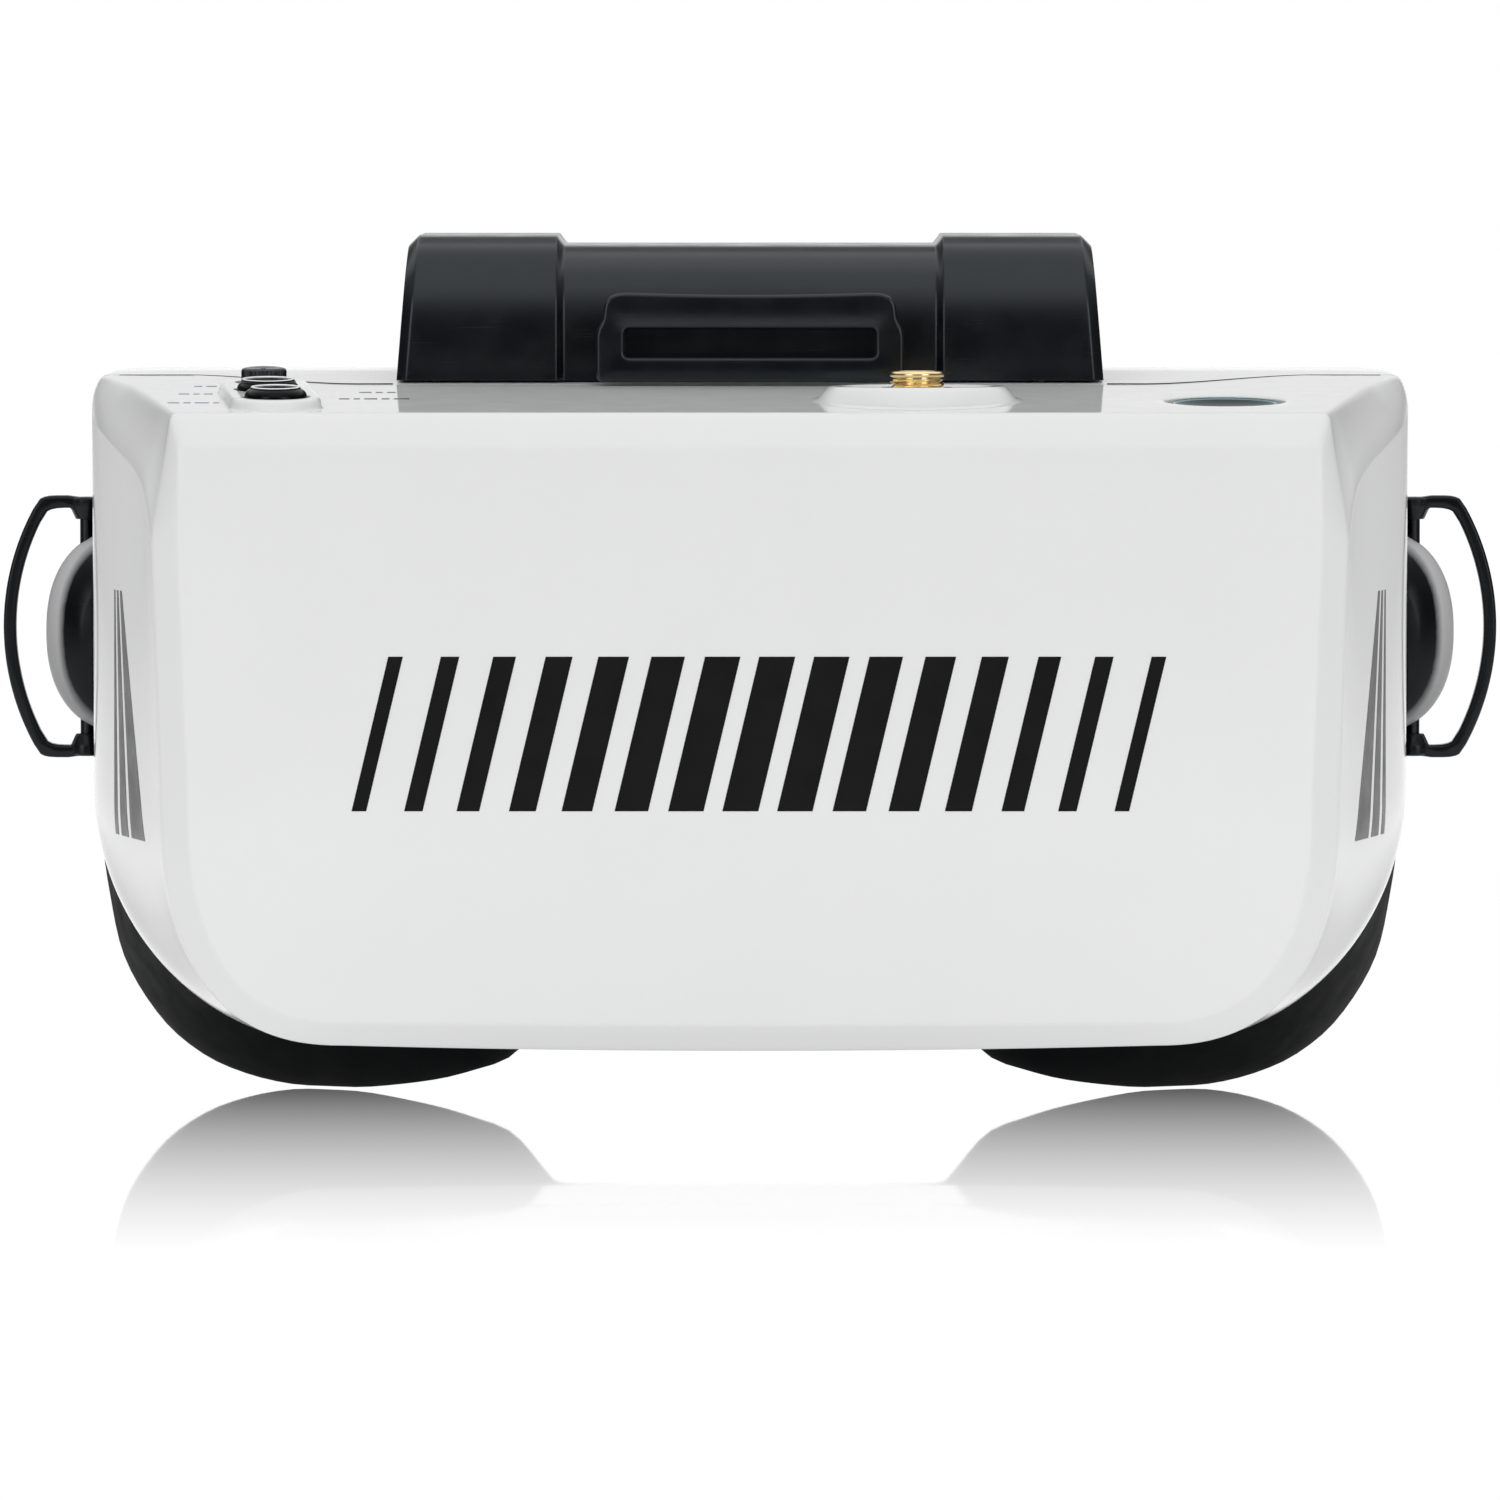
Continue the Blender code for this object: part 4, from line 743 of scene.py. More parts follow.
def front_shell():
    face, behind = face_outline(), BEVEL_DEPTH + 0.7
    flat = at_depth(offset2d(face, 0.3), 0.0)
    bevel = [bevel_ring(0.06 + 0.88 * i / 9) for i in range(10)]
    edge, after = at_depth(outline(BEVEL_DEPTH), BEVEL_DEPTH), at_depth(outline(behind), behind)

    def rounding(start, corner, end):
        return [[bezier(a, b, c, t) for a, b, c in zip(start, corner, end)] for t in (0.33, 0.66)]

    rings = [flat] + rounding(flat, at_depth(face, 0.0), bevel[0])
    rings += bevel + rounding(bevel[-1], edge, after)
    rings += shell_rings(behind, SEAM - 0.3)
    rings += [at_depth(outline(SEAM, 0.08), SEAM - 0.08), at_depth(outline(SEAM, 0.3), SEAM)]
    rings += [at_depth(outline(d, WALL), d) for d in (SEAM, 34, 15, 4.6)]
    rings.append(at_depth(face_outline(1.6), 2.2))
    shell = add("shell_front", loft(rings), "white_gloss")

    cut(shell, prism(both_sides(seam_line(0.0) + [(SWEEP_OUT + 0.1, SEAM + 6)]), 80, 95))
    cut(shell, loft([on_slope(capsule(BUTTON_FRONT, DIAL, r), h) for r, h in PILL_RISE]), "UNION")
    pedestal = [on_slope(circle(*ANTENNA, r), h) for r, h in PEDESTAL_FOOT]
    pedestal += [[(x, d, max(z, top_z(d) + 0.3)) for x, d in circle(*ANTENNA, r)]
                 for r, z in PEDESTAL_RISE]
    pedestal += [at_height(circle(*ANTENNA, r), z) for r, z in PEDESTAL_DISH]
    cut(shell, loft(pedestal), "UNION")
    for place, r in ((BUTTON_FRONT, 3.9), (BUTTON_MIDDLE, 3.9), (DIAL, 3.3)):
        hole = [(r, -4.0), (r, 1.18), (r + 0.22, 1.4), (r + 0.22, 3.0)]
        cut(shell, turned(hole, 64, on_top(*place)))
    power_hole = [(6.9, -4.0), (6.9, -0.42), (6.98, -0.2), (7.2, -0.03), (7.55, 0.03), (7.55, 1.5)]
    cut(shell, turned(power_hole, 96, on_top(*POWER)))
    cut(shell, turned([(3.35, 80.0), (3.35, 90.0)], 48, upright(*ANTENNA)))
    show_as(bake(shell, 28), "front_shell")


# ---------------------------------------------------------------- rear housing
# screw posts inside the wall: heights, inner x, front and back depth;
# then the hole's x, radius, front and back depth
POST_OUT_X = 76.2
POSTS = [(SHELL_SCREW_Z, 68.2, SEAM + GAP, SHELL_POST_BACK, SHELL_SCREW_X, 1.25, 45, 60),
         (PLATE_SCREW_Z, 67.8, 68, HOUSING_BACK, PLATE_SCREW_X, 0.85, 70, 85)]


def rear_housing():
    rings = shell_rings(36.5, HOUSING_BACK - 0.4)
    rings += [at_depth(outline(HOUSING_BACK, 0.1), HOUSING_BACK - 0.1),
              at_depth(outline(HOUSING_BACK, 0.35), HOUSING_BACK)]
    rings += [at_depth(outline(d, WALL), d) for d in (HOUSING_BACK, 62, SEAM, 44, 36.5)]
    housing = add("shell_rear", loft(rings, closed=True), "white_gloss")

    # clear the front shell and its seam, then open the top under the battery hump
    right = seam_line(-GAP) + [(SWEEP_OUT + 0.1 + GAP, SEAM + GAP), (110, SEAM + GAP), (110, 30)]
    cut(housing, prism(both_sides(right), 79, 100))
    cut(housing, box(-110, 110, 30, SEAM + GAP, -20, 79.001))
    cut(housing, box(-38.6, 38.6, 41.6, 77.2, 70.0, 95.0))
    for _, side in SIDES:
        for heights, inner_x, d0, d1, hole_x, hole_r, hole_d0, hole_d1 in POSTS:
            x0, x1 = sorted((side * inner_x, side * POST_OUT_X))
            for z in heights:
                cut(housing, box(x0, x1, d0, d1, z - 2.8, z + 2.8), "UNION")
                cut(housing, turned([(hole_r, hole_d0), (hole_r, hole_d1)], 20,
                                    along_depth(side * hole_x, 0, z)))
    show_as(bake(housing, 28), "rear_housing")


def seam_shadow_beads():
    """Painted shadow: a dark bead lying in the seam on each side of the hump, thinning outwards,
    standing in for the shade in the seam's gap.
    """
    start_x, half_gap = 41.6, 0.15
    line = [(start_x + (SWEEP_IN - start_x) * i / 6, TONGUE + half_gap) for i in range(6)]
    line += seam_line(-half_gap, 40)
    line += [(SWEEP_OUT + 0.6 + i * 1.6, SEAM + half_gap) for i in range(5)]
    last = len(line) - 1
    rings = []
    for i, (x, d) in enumerate(line):
        a, b = line[max(i - 1, 0)], line[min(i + 1, last)]
        along = Vector((b[0] - a[0], b[1] - a[1])).normalized()
        r = 0.17 - 0.09 * i / last
        base = top_z(min(d, SEAM)) - 0.05
        rings.append([(x - along.y * r * math.cos(a), d + along.x * r * math.cos(a),
                       base + r * math.sin(a)) for a in (2 * math.pi * k / 10 for k in range(10))])
    for label, side in SIDES:
        shape = loft([mirrored(ring, side) for ring in rings])
        add_detail(f"painted_seam_shadow_{label}", shape, "painted_seam_shadow", smooth=60)


# ---------------------------------------------------------------- prints
# grey bars on each side: (front, back) depth at the bottom, then at the top
SIDE_BARS = [((13.6, 20.8), (23.4, 24.4)), ((22.4, 26.4), (25.4, 26.2)), ((28.0, 30.0), (27.2, 27.8))]
# rows of dashes on the top: front depth, first x, dash lengths, ink
TOP_DASHES = [
    (35.0, -64.6, (0.9, 1.2), "print_slate"),
    (25.4, -66.0, (1.2, 0.7, 1.0), "print_slate"),
    (14.6, -66.8, (1.3, 0.8, 1.6, 0.7), "print_slate"),
    (19.4, -47.3, (1.2, 0.7, 1.5, 0.9, 1.8), "print_black"),
    (27.4, -45.2, (1.4, 0.8, 1.0), "print_grey"),
]


def patch(name, corner, material, thick=0.04, nu=2, nv=2):
    """Thin print following a surface: corner(u, v, h) gives the point h above it."""
    points = [corner(i / nu, j / nv, h)
              for h in (-0.03, thick) for i in range(nu + 1) for j in range(nv + 1)]
    row, layer = nv + 1, (nu + 1) * (nv + 1)
    faces = []
    for i in range(nu):
        for j in range(nv):
            p = i * row + j
            q = p + layer
            faces += [(p, p + row, p + row + 1, p + 1), (q, q + 1, q + row + 1, q + row)]
    # border: first point, step to the next, direction of the face
    border = [(i * row + k * nv, row, 1 - 2 * k) for i in range(nu) for k in (0, 1)]
    border += [(j + k * nu * row, 1, 2 * k - 1) for j in range(nv) for k in (0, 1)]
    for p, step, turn in border:
        faces.append((p, p + layer, p + layer + step, p + step)[::turn])
    add_detail(name, (points, faces), material, smooth=0)


def front_prints():
    """Row of leaning bars across the front, widest in the middle."""
    for k in range(15):
        middle = -43.4 + 6.2 * k + 1.0
        width = 1.5 + 2.6 * math.sin(math.pi * (k + 0.6) / 15.2) ** 1.3
        x0, x1 = middle - width / 2, middle + width / 2
        patch(f"front_print_{k}",
              lambda u, v, h: (lerp(x0, x1, u) + 4.2 * (v - 0.5), -h, lerp(39.0, 56.6, v)),
              "print_black")


def side_x_at(d, z, out):
    """x a distance out from the shell's side wall at depth d and height z."""
    section = outline(d)
    upper, lower = next((a, b) for a, b in zip(section, section[1:]) if b[1] <= z <= a[1])
    t = (upper[1] - z) / max(upper[1] - lower[1], 1e-9)
    return lerp(upper[0], lower[0], t) + out


def side_prints():
    bars = [(side, *bar) for _, side in SIDES for bar in SIDE_BARS]
    for k, (side, low, high) in enumerate(bars):
        def corner(u, v, h):
            z = lerp(34.8, 63.2, v)
            d = lerp(lerp(low[0], high[0], v), lerp(low[1], high[1], v), u)
            return (side * side_x_at(d, z, h), d, z)
        patch(f"side_print_{k}", corner, "print_grey", nu=6, nv=24)


def top_prints():
    k = 0
    for d0, x0, dashes, ink in TOP_DASHES:
        for length in dashes:
            def corner(u, v, h):
                d = lerp(d0, d0 + 0.9, v)
                return (lerp(x0, x0 + length, u), d, top_z(d) + h)
            patch(f"top_print_{k}", corner, ink, thick=0.025)
            x0 += length + 0.5
            k += 1


# ---------------------------------------------------------------- battery hump
# edges round each end: (inset from the end, share of the section's shrinking)
HUMP_END = [(0.0, 1.0), (0.03, 0.93), (0.12, 0.84), (1.0, 0.1), (1.12, 0.03), (1.25, 0.0)]
# step down into the middle channel: (x, drop, setback)
HUMP_CHANNEL = [
    (-23.4, 0, 0), (-22.7, 0, 0), (-22.58, 0.03, 0.02), (-22.5, 0.12, 0.07), (-22.15, 0.62, 0.37),
    (-21.8, 1.05, 0.64), (-21.68, CHANNEL_DROP - 0.02, 0.69), (-21.5, CHANNEL_DROP, 0.7),
    (-20.6, CHANNEL_DROP, 0.7), (0.0, CHANNEL_DROP, 0.7),
]


def hump_section(drop, setback, top_round):
    """(depth, z) section, lowered by drop and top_round and drawn in at front and back."""
    f, t, b = CASE_FRONT + setback, CASE_TOP - drop - top_round, CASE_BACK - setback
    pts = [(f, top_z(CASE_FRONT) + GAP), (f, 91.0), (f + 0.35, 95.5), (f + 1.3, 98.8),
           (f + 3.0, t - 2.1), (f + 5.6, t - 0.55), (f + 9.0, t), (60, t), (74 - setback, t),
           (b - 5.0, t - 0.6), (b - 2.0, t - 2.2), (b - 0.4, t - 5.0), (b, t - 9.0), (b, 87.15),
           (78, 87.4), (68, 88.5), (60, 88.45), (52, 88.05), (45, top_z(45) + GAP)]
    return closed_curve(pts, hard={0, 13}, pieces=5)


def battery_hump():
    def end_ring(inset, section):
        return [(-(CASE_HALF - (z - 87.0) * CASE_TAPER - inset), d, z) for d, z in section]

    rings = [end_ring(inset, hump_section(0, 0.8 * k, 1.3 * k)) for inset, k in HUMP_END]
    rings.append(end_ring(2.2, hump_section(0, 0, 0)))
    rings += [[(x, d, z) for d, z in hump_section(drop, setback, 0)]
              for x, drop, setback in HUMP_CHANNEL]
    rings += [mirrored(ring, -1) for ring in reversed(rings[:-1])]
    hump = add("hump", loft(rings), "black_satin")
    f = CASE_FRONT
    hollow = [(f + 1.9, 84.0), (f + 1.9, 91), (f + 2.2, 95), (f + 3.4, 98), (f + 5.2, 99.8),
              (f + 9, 101.2), (74, 101.2), (78.6, 99.9), (81.0, 97), (82.0, 93), (82.0, 84.0)]
    cut(hump, loft([[(x, d, z) for d, z in hollow] for x in (-38.2, 38.2)]))
    show_as(bake(hump, 26), "battery_cover")


def top_strap_loop():
    """Upright plate with a wide slot, in front of the hump."""
    foot = top_z(36.6) + 0.42
    edge = [(17.3, foot), (17.75, foot + 0.25), (17.9, foot + 0.7), (17.9, 92.4), (17.75, 93.2),
            (17.35, 93.9), (17.12, 94.6), (17.05, 95.5), (16.85, 96.3), (16.3, 97.0),
            (15.4, 97.38), (14.2, 97.45), (9, 97.3), (4, 97.22)]
    slot = [(14.15, 89.9), (14.45, 90.0), (14.6, 90.3), (14.6, 92.9), (14.45, 93.2), (14.15, 93.3)]
    outer = resample(full([(0.0, foot)] + edge + [(0.0, 97.2)]), 200)
    inner = resample(full([(0.0, 89.9)] + slot + [(0.0, 93.3)]), 200)
    profile = rounded_edge(35.5, 37.8, 0.4)
    rings = [at_depth(offset2d(outer, inset), d) for inset, d in profile]
    rings += [at_depth(offset2d(inner, -inset), d) for inset, d in reversed(profile)]
    show_as(add("loop_top", loft(rings, closed=True), "black_satin", smooth=30), "top_strap_loop")


# ---------------------------------------------------------------- face plate, tape and foam
# half outlines in three runs of (x, z): over the top, down the side, along the bottom
PLATE_FRONT = ([(0, 86.2), (58, 86.2), (67, 85.4), (72.6, 82.0)],
               [(72.6, 82.0), (75.4, 78.0), (76.5, 66), (76.5, 41)],
               [(76.5, 41), (75.3, 29), (70, 19), (60, 12.6), (48, 10.6), (25, 10.0), (0, 10.0)])
PLATE_RIM = ([(0, 84), (30, 84), (56, 82.5), (70, 77)],
             [(70, 77), (77, 69), (79.8, 55), (79.8, 38)],
             [(79.8, 38), (79.5, 30), (78.6, 23), (76.6, 14.6), (72.0, 7.6), (66.8, 3.5),
              (61.5, 1.3), (56, 0.15), (51, 0.0), (46, 0.15), (38.5, 1.3), (33.6, 2.6),
              (28.6, 4.6), (24.4, 9.6), (20, 14.6), (12, 18.6), (0, 20.0)])
PLATE_EYE = ([(0, 72), (30, 72), (48, 71), (59, 66.5)],
             [(59, 66.5), (65.5, 60), (67.5, 52), (67.5, 38)],
             [(67.5, 38), (66, 28), (61, 19), (54, 13.5), (46, 12), (39, 14), (33, 19),
              (27, 25), (18, 29.5), (9, 31.5), (0, 32)])
PLATE_OPEN = ([(0, 76), (40, 76), (56, 74.5), (62, 70)],
              [(62, 70), (63.5, 64), (64, 52), (64, 38)],
              [(64, 38), (63, 28), (58, 20), (50, 17.5), (36, 17.5), (20, 17.5), (0, 17.5)])
# rim depth over x, along the top and sides and along the bottom
RIM_TOP_D = [(0, 99), (30, 101), (56, 108), (70, 114), (79.8, 118)]
RIM_LOW_D = [(0, 98), (12, 95), (22, 92), (29, 90.5), (36, 92), (45, 97), (51, 100.5), (66, 107),
             (77, 116), (79.8, 118)]
# pieces in each run
PLATE_PIECES = (22, 16, 58)
FOAM_PIECES = (30, 20, 76)

# plate: places along the wall, then (share across the rim, height behind it) round to its back
WALL_STEPS = (0.02, 0.06, 0.12, 0.2, 0.29, 0.38, 0.47, 0.56, 0.65, 0.74, 0.83, 0.91, 0.965)
RIM_STEPS = [(0.012, -0.25), (0.035, 0.0), (0.18, 0.0), (0.5, 0.0), (0.82, 0.0), (0.955, 0.0),
             (0.985, -0.3), (0.985, -1.5), (0.93, -1.8)]
TAPE_SECTION = [(0.17, 0.35), (0.17, 1.35), (0.5, 1.45), (0.83, 1.35), (0.83, 0.35), (0.5, 0.3)]
SEAM_SHARES = (0.13, 0.87)   # stitched seams across the foam
SEAM_HALF = 0.018


def plate_outline(runs, pieces):
    top, side, low = (spline(run, n) for run, n in zip(runs, pieces))
    return full(top[:-1] + side[:-1] + low)


def rim_with_depths(pieces):
    """(point, depth) round the rim."""
    rim = plate_outline(PLATE_RIM, pieces)
    upper = pieces[0] + pieces[1]
    return [(p, smooth_line(RIM_TOP_D if min(i, len(rim) - i) < upper else RIM_LOW_D, abs(p[0])))
            for i, p in enumerate(rim)]


def rim_ring(share, h, pieces=PLATE_PIECES):
    """Ring on the rim, a share of the way in from its outer edge, h behind it."""
    eye = plate_outline(PLATE_EYE, pieces)
    return [(lerp(a[0], b[0], share), d + h, lerp(a[1], b[1], share))
            for (a, d), b in zip(rim_with_depths(pieces), eye)]


def wall_ring(t, inset=0.0):
    """Ring on the face plate wall: t = 0 at the housing, 1 at the rim."""
    front, rim = plate_outline(PLATE_FRONT, PLATE_PIECES), rim_with_depths(PLATE_PIECES)
    ease = t * t * (3 - 2 * t) * 0.6 + t * 0.4
    pts = [(lerp(a[0], b[0], ease), lerp(a[1], b[1], ease)) for a, (b, _) in zip(front, rim)]
    return [(x, PLATE_D + t * (d - PLATE_D), z)
            for (x, z), (_, d) in zip(offset2d(pts, inset), rim)]


def face_plate():
    rings = [wall_ring(0.004, 0.35)] + [wall_ring(t) for t in WALL_STEPS]
    rings += [rim_ring(share, h) for share, h in RIM_STEPS]
    rings += [[(x, d - 1.8, z) for x, d, z in wall_ring(t, WALL)] for t in (0.96, 0.8, 0.6)]
    rings.append([(x, PLATE_D + WALL, z) for x, _, z in wall_ring(0.0, WALL)])
    opening = plate_outline(PLATE_OPEN, PLATE_PIECES)
    rings += [at_depth(opening, PLATE_D + WALL), at_depth(opening, PLATE_D)]
    plate = add("plate", loft(rings, closed=True), "black_matt")
    for _, side in SIDES:
        for z in PLATE_SCREW_Z:
            cut(plate, turned([(1.25, 70), (1.25, 84)], 24, along_depth(side * PLATE_SCREW_X, 0, z)))
    show_as(bake(plate, 30), "face_plate")


def hook_tape():
    rings = [rim_ring(share, h) for share, h in TAPE_SECTION]
    shape = loft(rings, closed=True, across=[share for share, _ in TAPE_SECTION])
    show_as(add("tape", shape, "hook_tape"), "hook_tape")


def foam_section(pieces=40):
    """(share, height) rows: a crown with a stitched groove along each shoulder."""
    pts = []
    for i in range(pieces + 1):
        a = math.pi * (-0.12 + 1.24 * i / pieces)
        u = 0.5 - 0.455 * math.copysign(abs(math.cos(a)) ** 0.72, math.cos(a))
        h = 3.2 + 4.75 * math.copysign(abs(math.sin(a)) ** 0.8, math.sin(a))
        groove = sum(math.exp(-((u - c) / SEAM_HALF) ** 2) for c in SEAM_SHARES) if h > 4 else 0.0
        pts.append((u, h - 0.55 * groove))
    return pts + [(0.83, 1.9), (0.5, 2.0), (0.17, 1.9)]


def face_foam():
    def dip(i):
        """Shallow uneven dents along the foam."""
        wave = 0.12 * math.sin(i * 0.61 + 1.3 * math.sin(i * 0.17)) * math.sin(0.9 + 0.43 * i)
        return min(0.0, wave)

    section = foam_section()
    rings = [[(x, d + dip(i), z)
              for i, (x, d, z) in enumerate(rim_ring(share, max(h, 1.75), FOAM_PIECES))]
             for share, h in section]
    show_as(add("foam", loft(rings, closed=True), "foam_fabric", smooth=70), "face_foam")

    for j, share in enumerate(SEAM_SHARES):
        middle, outer, inner = (rim_ring(share + k, 0.0, FOAM_PIECES)
                                for k in (0.0, -SEAM_HALF, SEAM_HALF))
        height = max(h for u, h in section if abs(u - share) < 0.04) - 0.32
        rings = []
        for across, up in circle(0.0, 0.0, 1.0, 8):
            rings.append([(m[0] + (b[0] - a[0]) * 0.5 * across,
                           m[1] + height + 0.24 * up + (b[1] - a[1]) * 0.5 * across,
                           m[2] + (b[2] - a[2]) * 0.5 * across)
                          for m, a, b in zip(middle, outer, inner)])
        add_detail(f"foam_seam_{j}", loft(rings, closed=True), "foam_piping", smooth=70)


# ---------------------------------------------------------------- strap loops
# (radius, height from the loop's middle) of the upper barrel round the pin
BARREL = [(1.3, 12.95), (1.45, 13.2), (1.98, 14.35), (2.0, 14.6), (2.0, 15.35), (1.75, 15.6)]


def boss_rings(steps=36, pieces=56):
    """Sections of an oval dome along the depth, cut off just clear of the face plate's wall."""
    rings = []
    for i in range(steps + 1):
        tilt = math.radians(-64 + 128 * i / steps)
        k = math.cos(tilt) ** 0.8
        half_x, half_z = 9.9 * k, 12.3 * k
        cut_off = max(0.0, (BOSS_CUT_X - BOSS_X) / half_x) ** (BOSS_POWER / 2)
        start = math.acos(min(1.0, cut_off))
        ring = []
        for j in range(pieces + 1):
            a = start - 2 * start * j / pieces
            c, s = abs(math.cos(a)), abs(math.sin(a))
            ring.append((BOSS_X + half_x * c ** (2 / BOSS_POWER), LOOP_D + 7.4 * math.sin(tilt),
                         BOSS_Z + math.copysign(half_z * s ** (2 / BOSS_POWER), math.sin(a))))
        rings.append(ring)
    return rings


def loop_outline(pieces=44):
    """(x, z) outer edge of the bowed loop from top root to bottom root, then the inner edge back."""
    def bow(out_x, radius, half, corner):
        centre_x = out_x - radius
        end = (centre_x + math.sqrt(radius**2 - half**2), half)
        reach = math.asin(half / radius) - corner / radius
        angles = [reach * (1 - 2 * i / pieces) for i in range(pieces + 1)]
        run = [(centre_x + radius * math.cos(a), radius * math.sin(a)) for a in angles]
        top = rounded_corner(end, (end[0] - 20, half), run[0], corner, 4)
        low = [(x, -z) for x, z in reversed(top)]
        return top[:-1] + run + low[1:]

    inner_half = LOOP_HALF_H - LOOP_BAR
    outer = [(LOOP_X, LOOP_HALF_H - 0.3), (LOOP_X + 2.2, LOOP_HALF_H)]
    outer += bow(LOOP_OUT, LOOP_BOW, LOOP_HALF_H, 1.8)
    outer += [(LOOP_X + 2.2, -LOOP_HALF_H), (LOOP_X, -LOOP_HALF_H + 0.3)]
    inner = [(LOOP_X, 12.9), (LOOP_X + 1.1, 13.7), (LOOP_X + 2.0, inner_half)]
    inner += bow(LOOP_OUT - LOOP_BAR, LOOP_BOW - LOOP_BAR, inner_half, 2.0)
    inner += [(LOOP_X + 2.0, -inner_half), (LOOP_X + 1.1, -13.7), (LOOP_X, -12.9)]
    return [(x, LOOP_Z + z) for x, z in outer + inner[::-1]]


def strap_loop(label, side):
    """Boss, loop and pin on one side."""
    pin_place = upright(side * LOOP_X, LOOP_D)
    hole_r = PIN_R + 0.12
    pin_hole = turned([(hole_r, LOOP_Z - 17), (hole_r, LOOP_Z + 17)], 32, pin_place)

    boss = add(f"boss_{label}", loft([mirrored(ring, side) for ring in boss_rings()]),
               "boss_painted_reflection", smooth=50)
    cut(boss, pin_hole)
    show_as(bake(boss, 40), f"loop_boss_{label}")

    edge = loop_outline()
    rings = [mirrored(at_depth(offset2d(edge, inset), d), side)
             for inset, d in rounded_edge(LOOP_D - 1.3, LOOP_D + 1.3, 0.38)]
    loop = add(f"loop_{label}", loft(rings), "black_gloss")
    for barrel in (BARREL, [(r, -z) for r, z in reversed(BARREL)]):
        cut(loop, turned([(r, LOOP_Z + z) for r, z in barrel], 48, pin_place), "UNION")
    cut(loop, pin_hole)
    show_as(bake(loop, 30), f"strap_loop_{label}", f"{label}_loop")

    profile = [(PIN_R - 0.25, LOOP_Z - 15.2), (PIN_R, LOOP_Z - 14.95), (PIN_R, LOOP_Z + 14.95),
               (PIN_R - 0.25, LOOP_Z + 15.2)]
    pin = add(f"pin_{label}", turned(profile, 32, pin_place), "pin_dark_steel")
    show_as(pin, f"loop_pin_{label}")


# ---------------------------------------------------------------- antenna connector
# (radius, z) below and above the thread
SOCKET_FOOT = [(3.9, 80.6), (4.4, 81.0), (4.4, 82.3), (3.1, 82.5), (2.9, 83.2), (2.9, 84.6)]
SOCKET_LIP = [(2.78, 87.82), (2.78, 87.98), (3.05, 88.06), (3.1, 88.14), (3.1, 88.42),
              (3.02, 88.56), (2.84, 88.68), (2.3, 88.7), (2.15, 88.55), (2.15, 86.2)]
THREAD_LOW, THREAD_HIGH, THREAD_STEPS = 84.8, 87.75, 46
THREAD_PITCH, THREAD_R, THREAD_DEPTH = 0.7056, 3.12, 0.38
INSULATOR = [(2.05, 86.35), (2.05, 87.95), (1.95, 88.05), (0.72, 88.05), (0.6, 87.9), (0.6, 86.35)]
CENTRE_PIN = [(0.45, 86.4), (0.45, 88.2), (0.36, 88.3), (0.22, 88.3), (0.18, 88.2), (0.18, 86.4)]


def antenna_socket():
    count = 72

    def thread_radius(z, a):
        phase = (z / THREAD_PITCH - a / (2 * math.pi)) % 1.0
        return THREAD_R - THREAD_DEPTH * min(1.0, max(0.0, 1.25 * abs(2 * phase - 1) - 0.12))

    rings = [at_height(circle(*ANTENNA, r, count), z) for r, z in SOCKET_FOOT]
    for step in range(THREAD_STEPS + 1):
        z = THREAD_LOW + (THREAD_HIGH - THREAD_LOW) * step / THREAD_STEPS
        radii = [thread_radius(z, 2 * math.pi * i / count) for i in range(count)]
        rings.append(at_height(polar(*ANTENNA, radii), z))
    rings += [at_height(circle(*ANTENNA, r, count), z) for r, z in SOCKET_LIP]
    show_as(add("connector", loft(rings), "gold_plate"), "antenna_socket")
    place = upright(*ANTENNA)
    add_detail("insulator", turned(INSULATOR, 48, place, closed=True), "connector_insulator")
    add_detail("centre_pin", turned(CENTRE_PIN, 32, place, closed=True), "gold_plate")


def antenna_nut():
    """Hexagon with chamfered corners and a countersunk hole."""
    hole_r, half_flats, z0, z1, count = 3.3, 7.9 / 2, 85.8, 86.85, 96
    place = upright(*ANTENNA)
    hexagon = [half_flats / math.cos((2 * math.pi * i / count) % (math.pi / 3) - math.pi / 6)
               for i in range(count)]
    chamfered = [min(r, half_flats * 1.03) for r in hexagon]
    rings = [placed_ring(radii, z, place) for radii, z in (
        (chamfered, z0), (hexagon, z0 + 0.22), (hexagon, z1 - 0.22), (chamfered, z1))]
    rings += [placed_ring([r] * count, z, place) for r, z in (
        (hole_r + 0.25, z1), (hole_r, z1 - 0.25), (hole_r, z0 + 0.25), (hole_r + 0.25, z0))]
    show_as(add("nut", loft(rings, closed=True), "gold_plate", smooth=24), "antenna_nut")


# ---------------------------------------------------------------- controls
# dial rows: height, radius, share of the rib depth
DIAL_ROWS = [(-3.1, 1.2, 0), (-2.95, 1.4, 0), (-2.95, 3.75, 0), (-2.4, 3.75, 0), (-2.4, 2.9, 0),
             (1.1, 2.9, 0), (1.25, 2.75, 0), (1.3, 2.42, 0), (1.42, 2.42, 1), (2.6, 2.42, 1),
             (2.8, 2.36, 0.6), (2.92, 2.2, 0), (2.95, 1.9, 0), (2.8, 1.0, 0)]
DIAL_RIBS = 30
# (radius, height)
POWER_CAP = [(1.5, -4.2), (1.7, -3.1), (7.35, -3.1), (7.35, -2.4), (6.62, -2.4), (6.62, -0.5),
             (6.56, -0.34), (6.42, -0.25), (6.2, -0.27), (5.8, -0.4), (5.0, -0.62), (3.6, -0.86),
             (2.0, -0.98), (0.6, -1.02)]
POWER_RING = [(5.7, -0.52), (5.98, -0.4), (5.98, -0.3), (5.7, -0.42)]


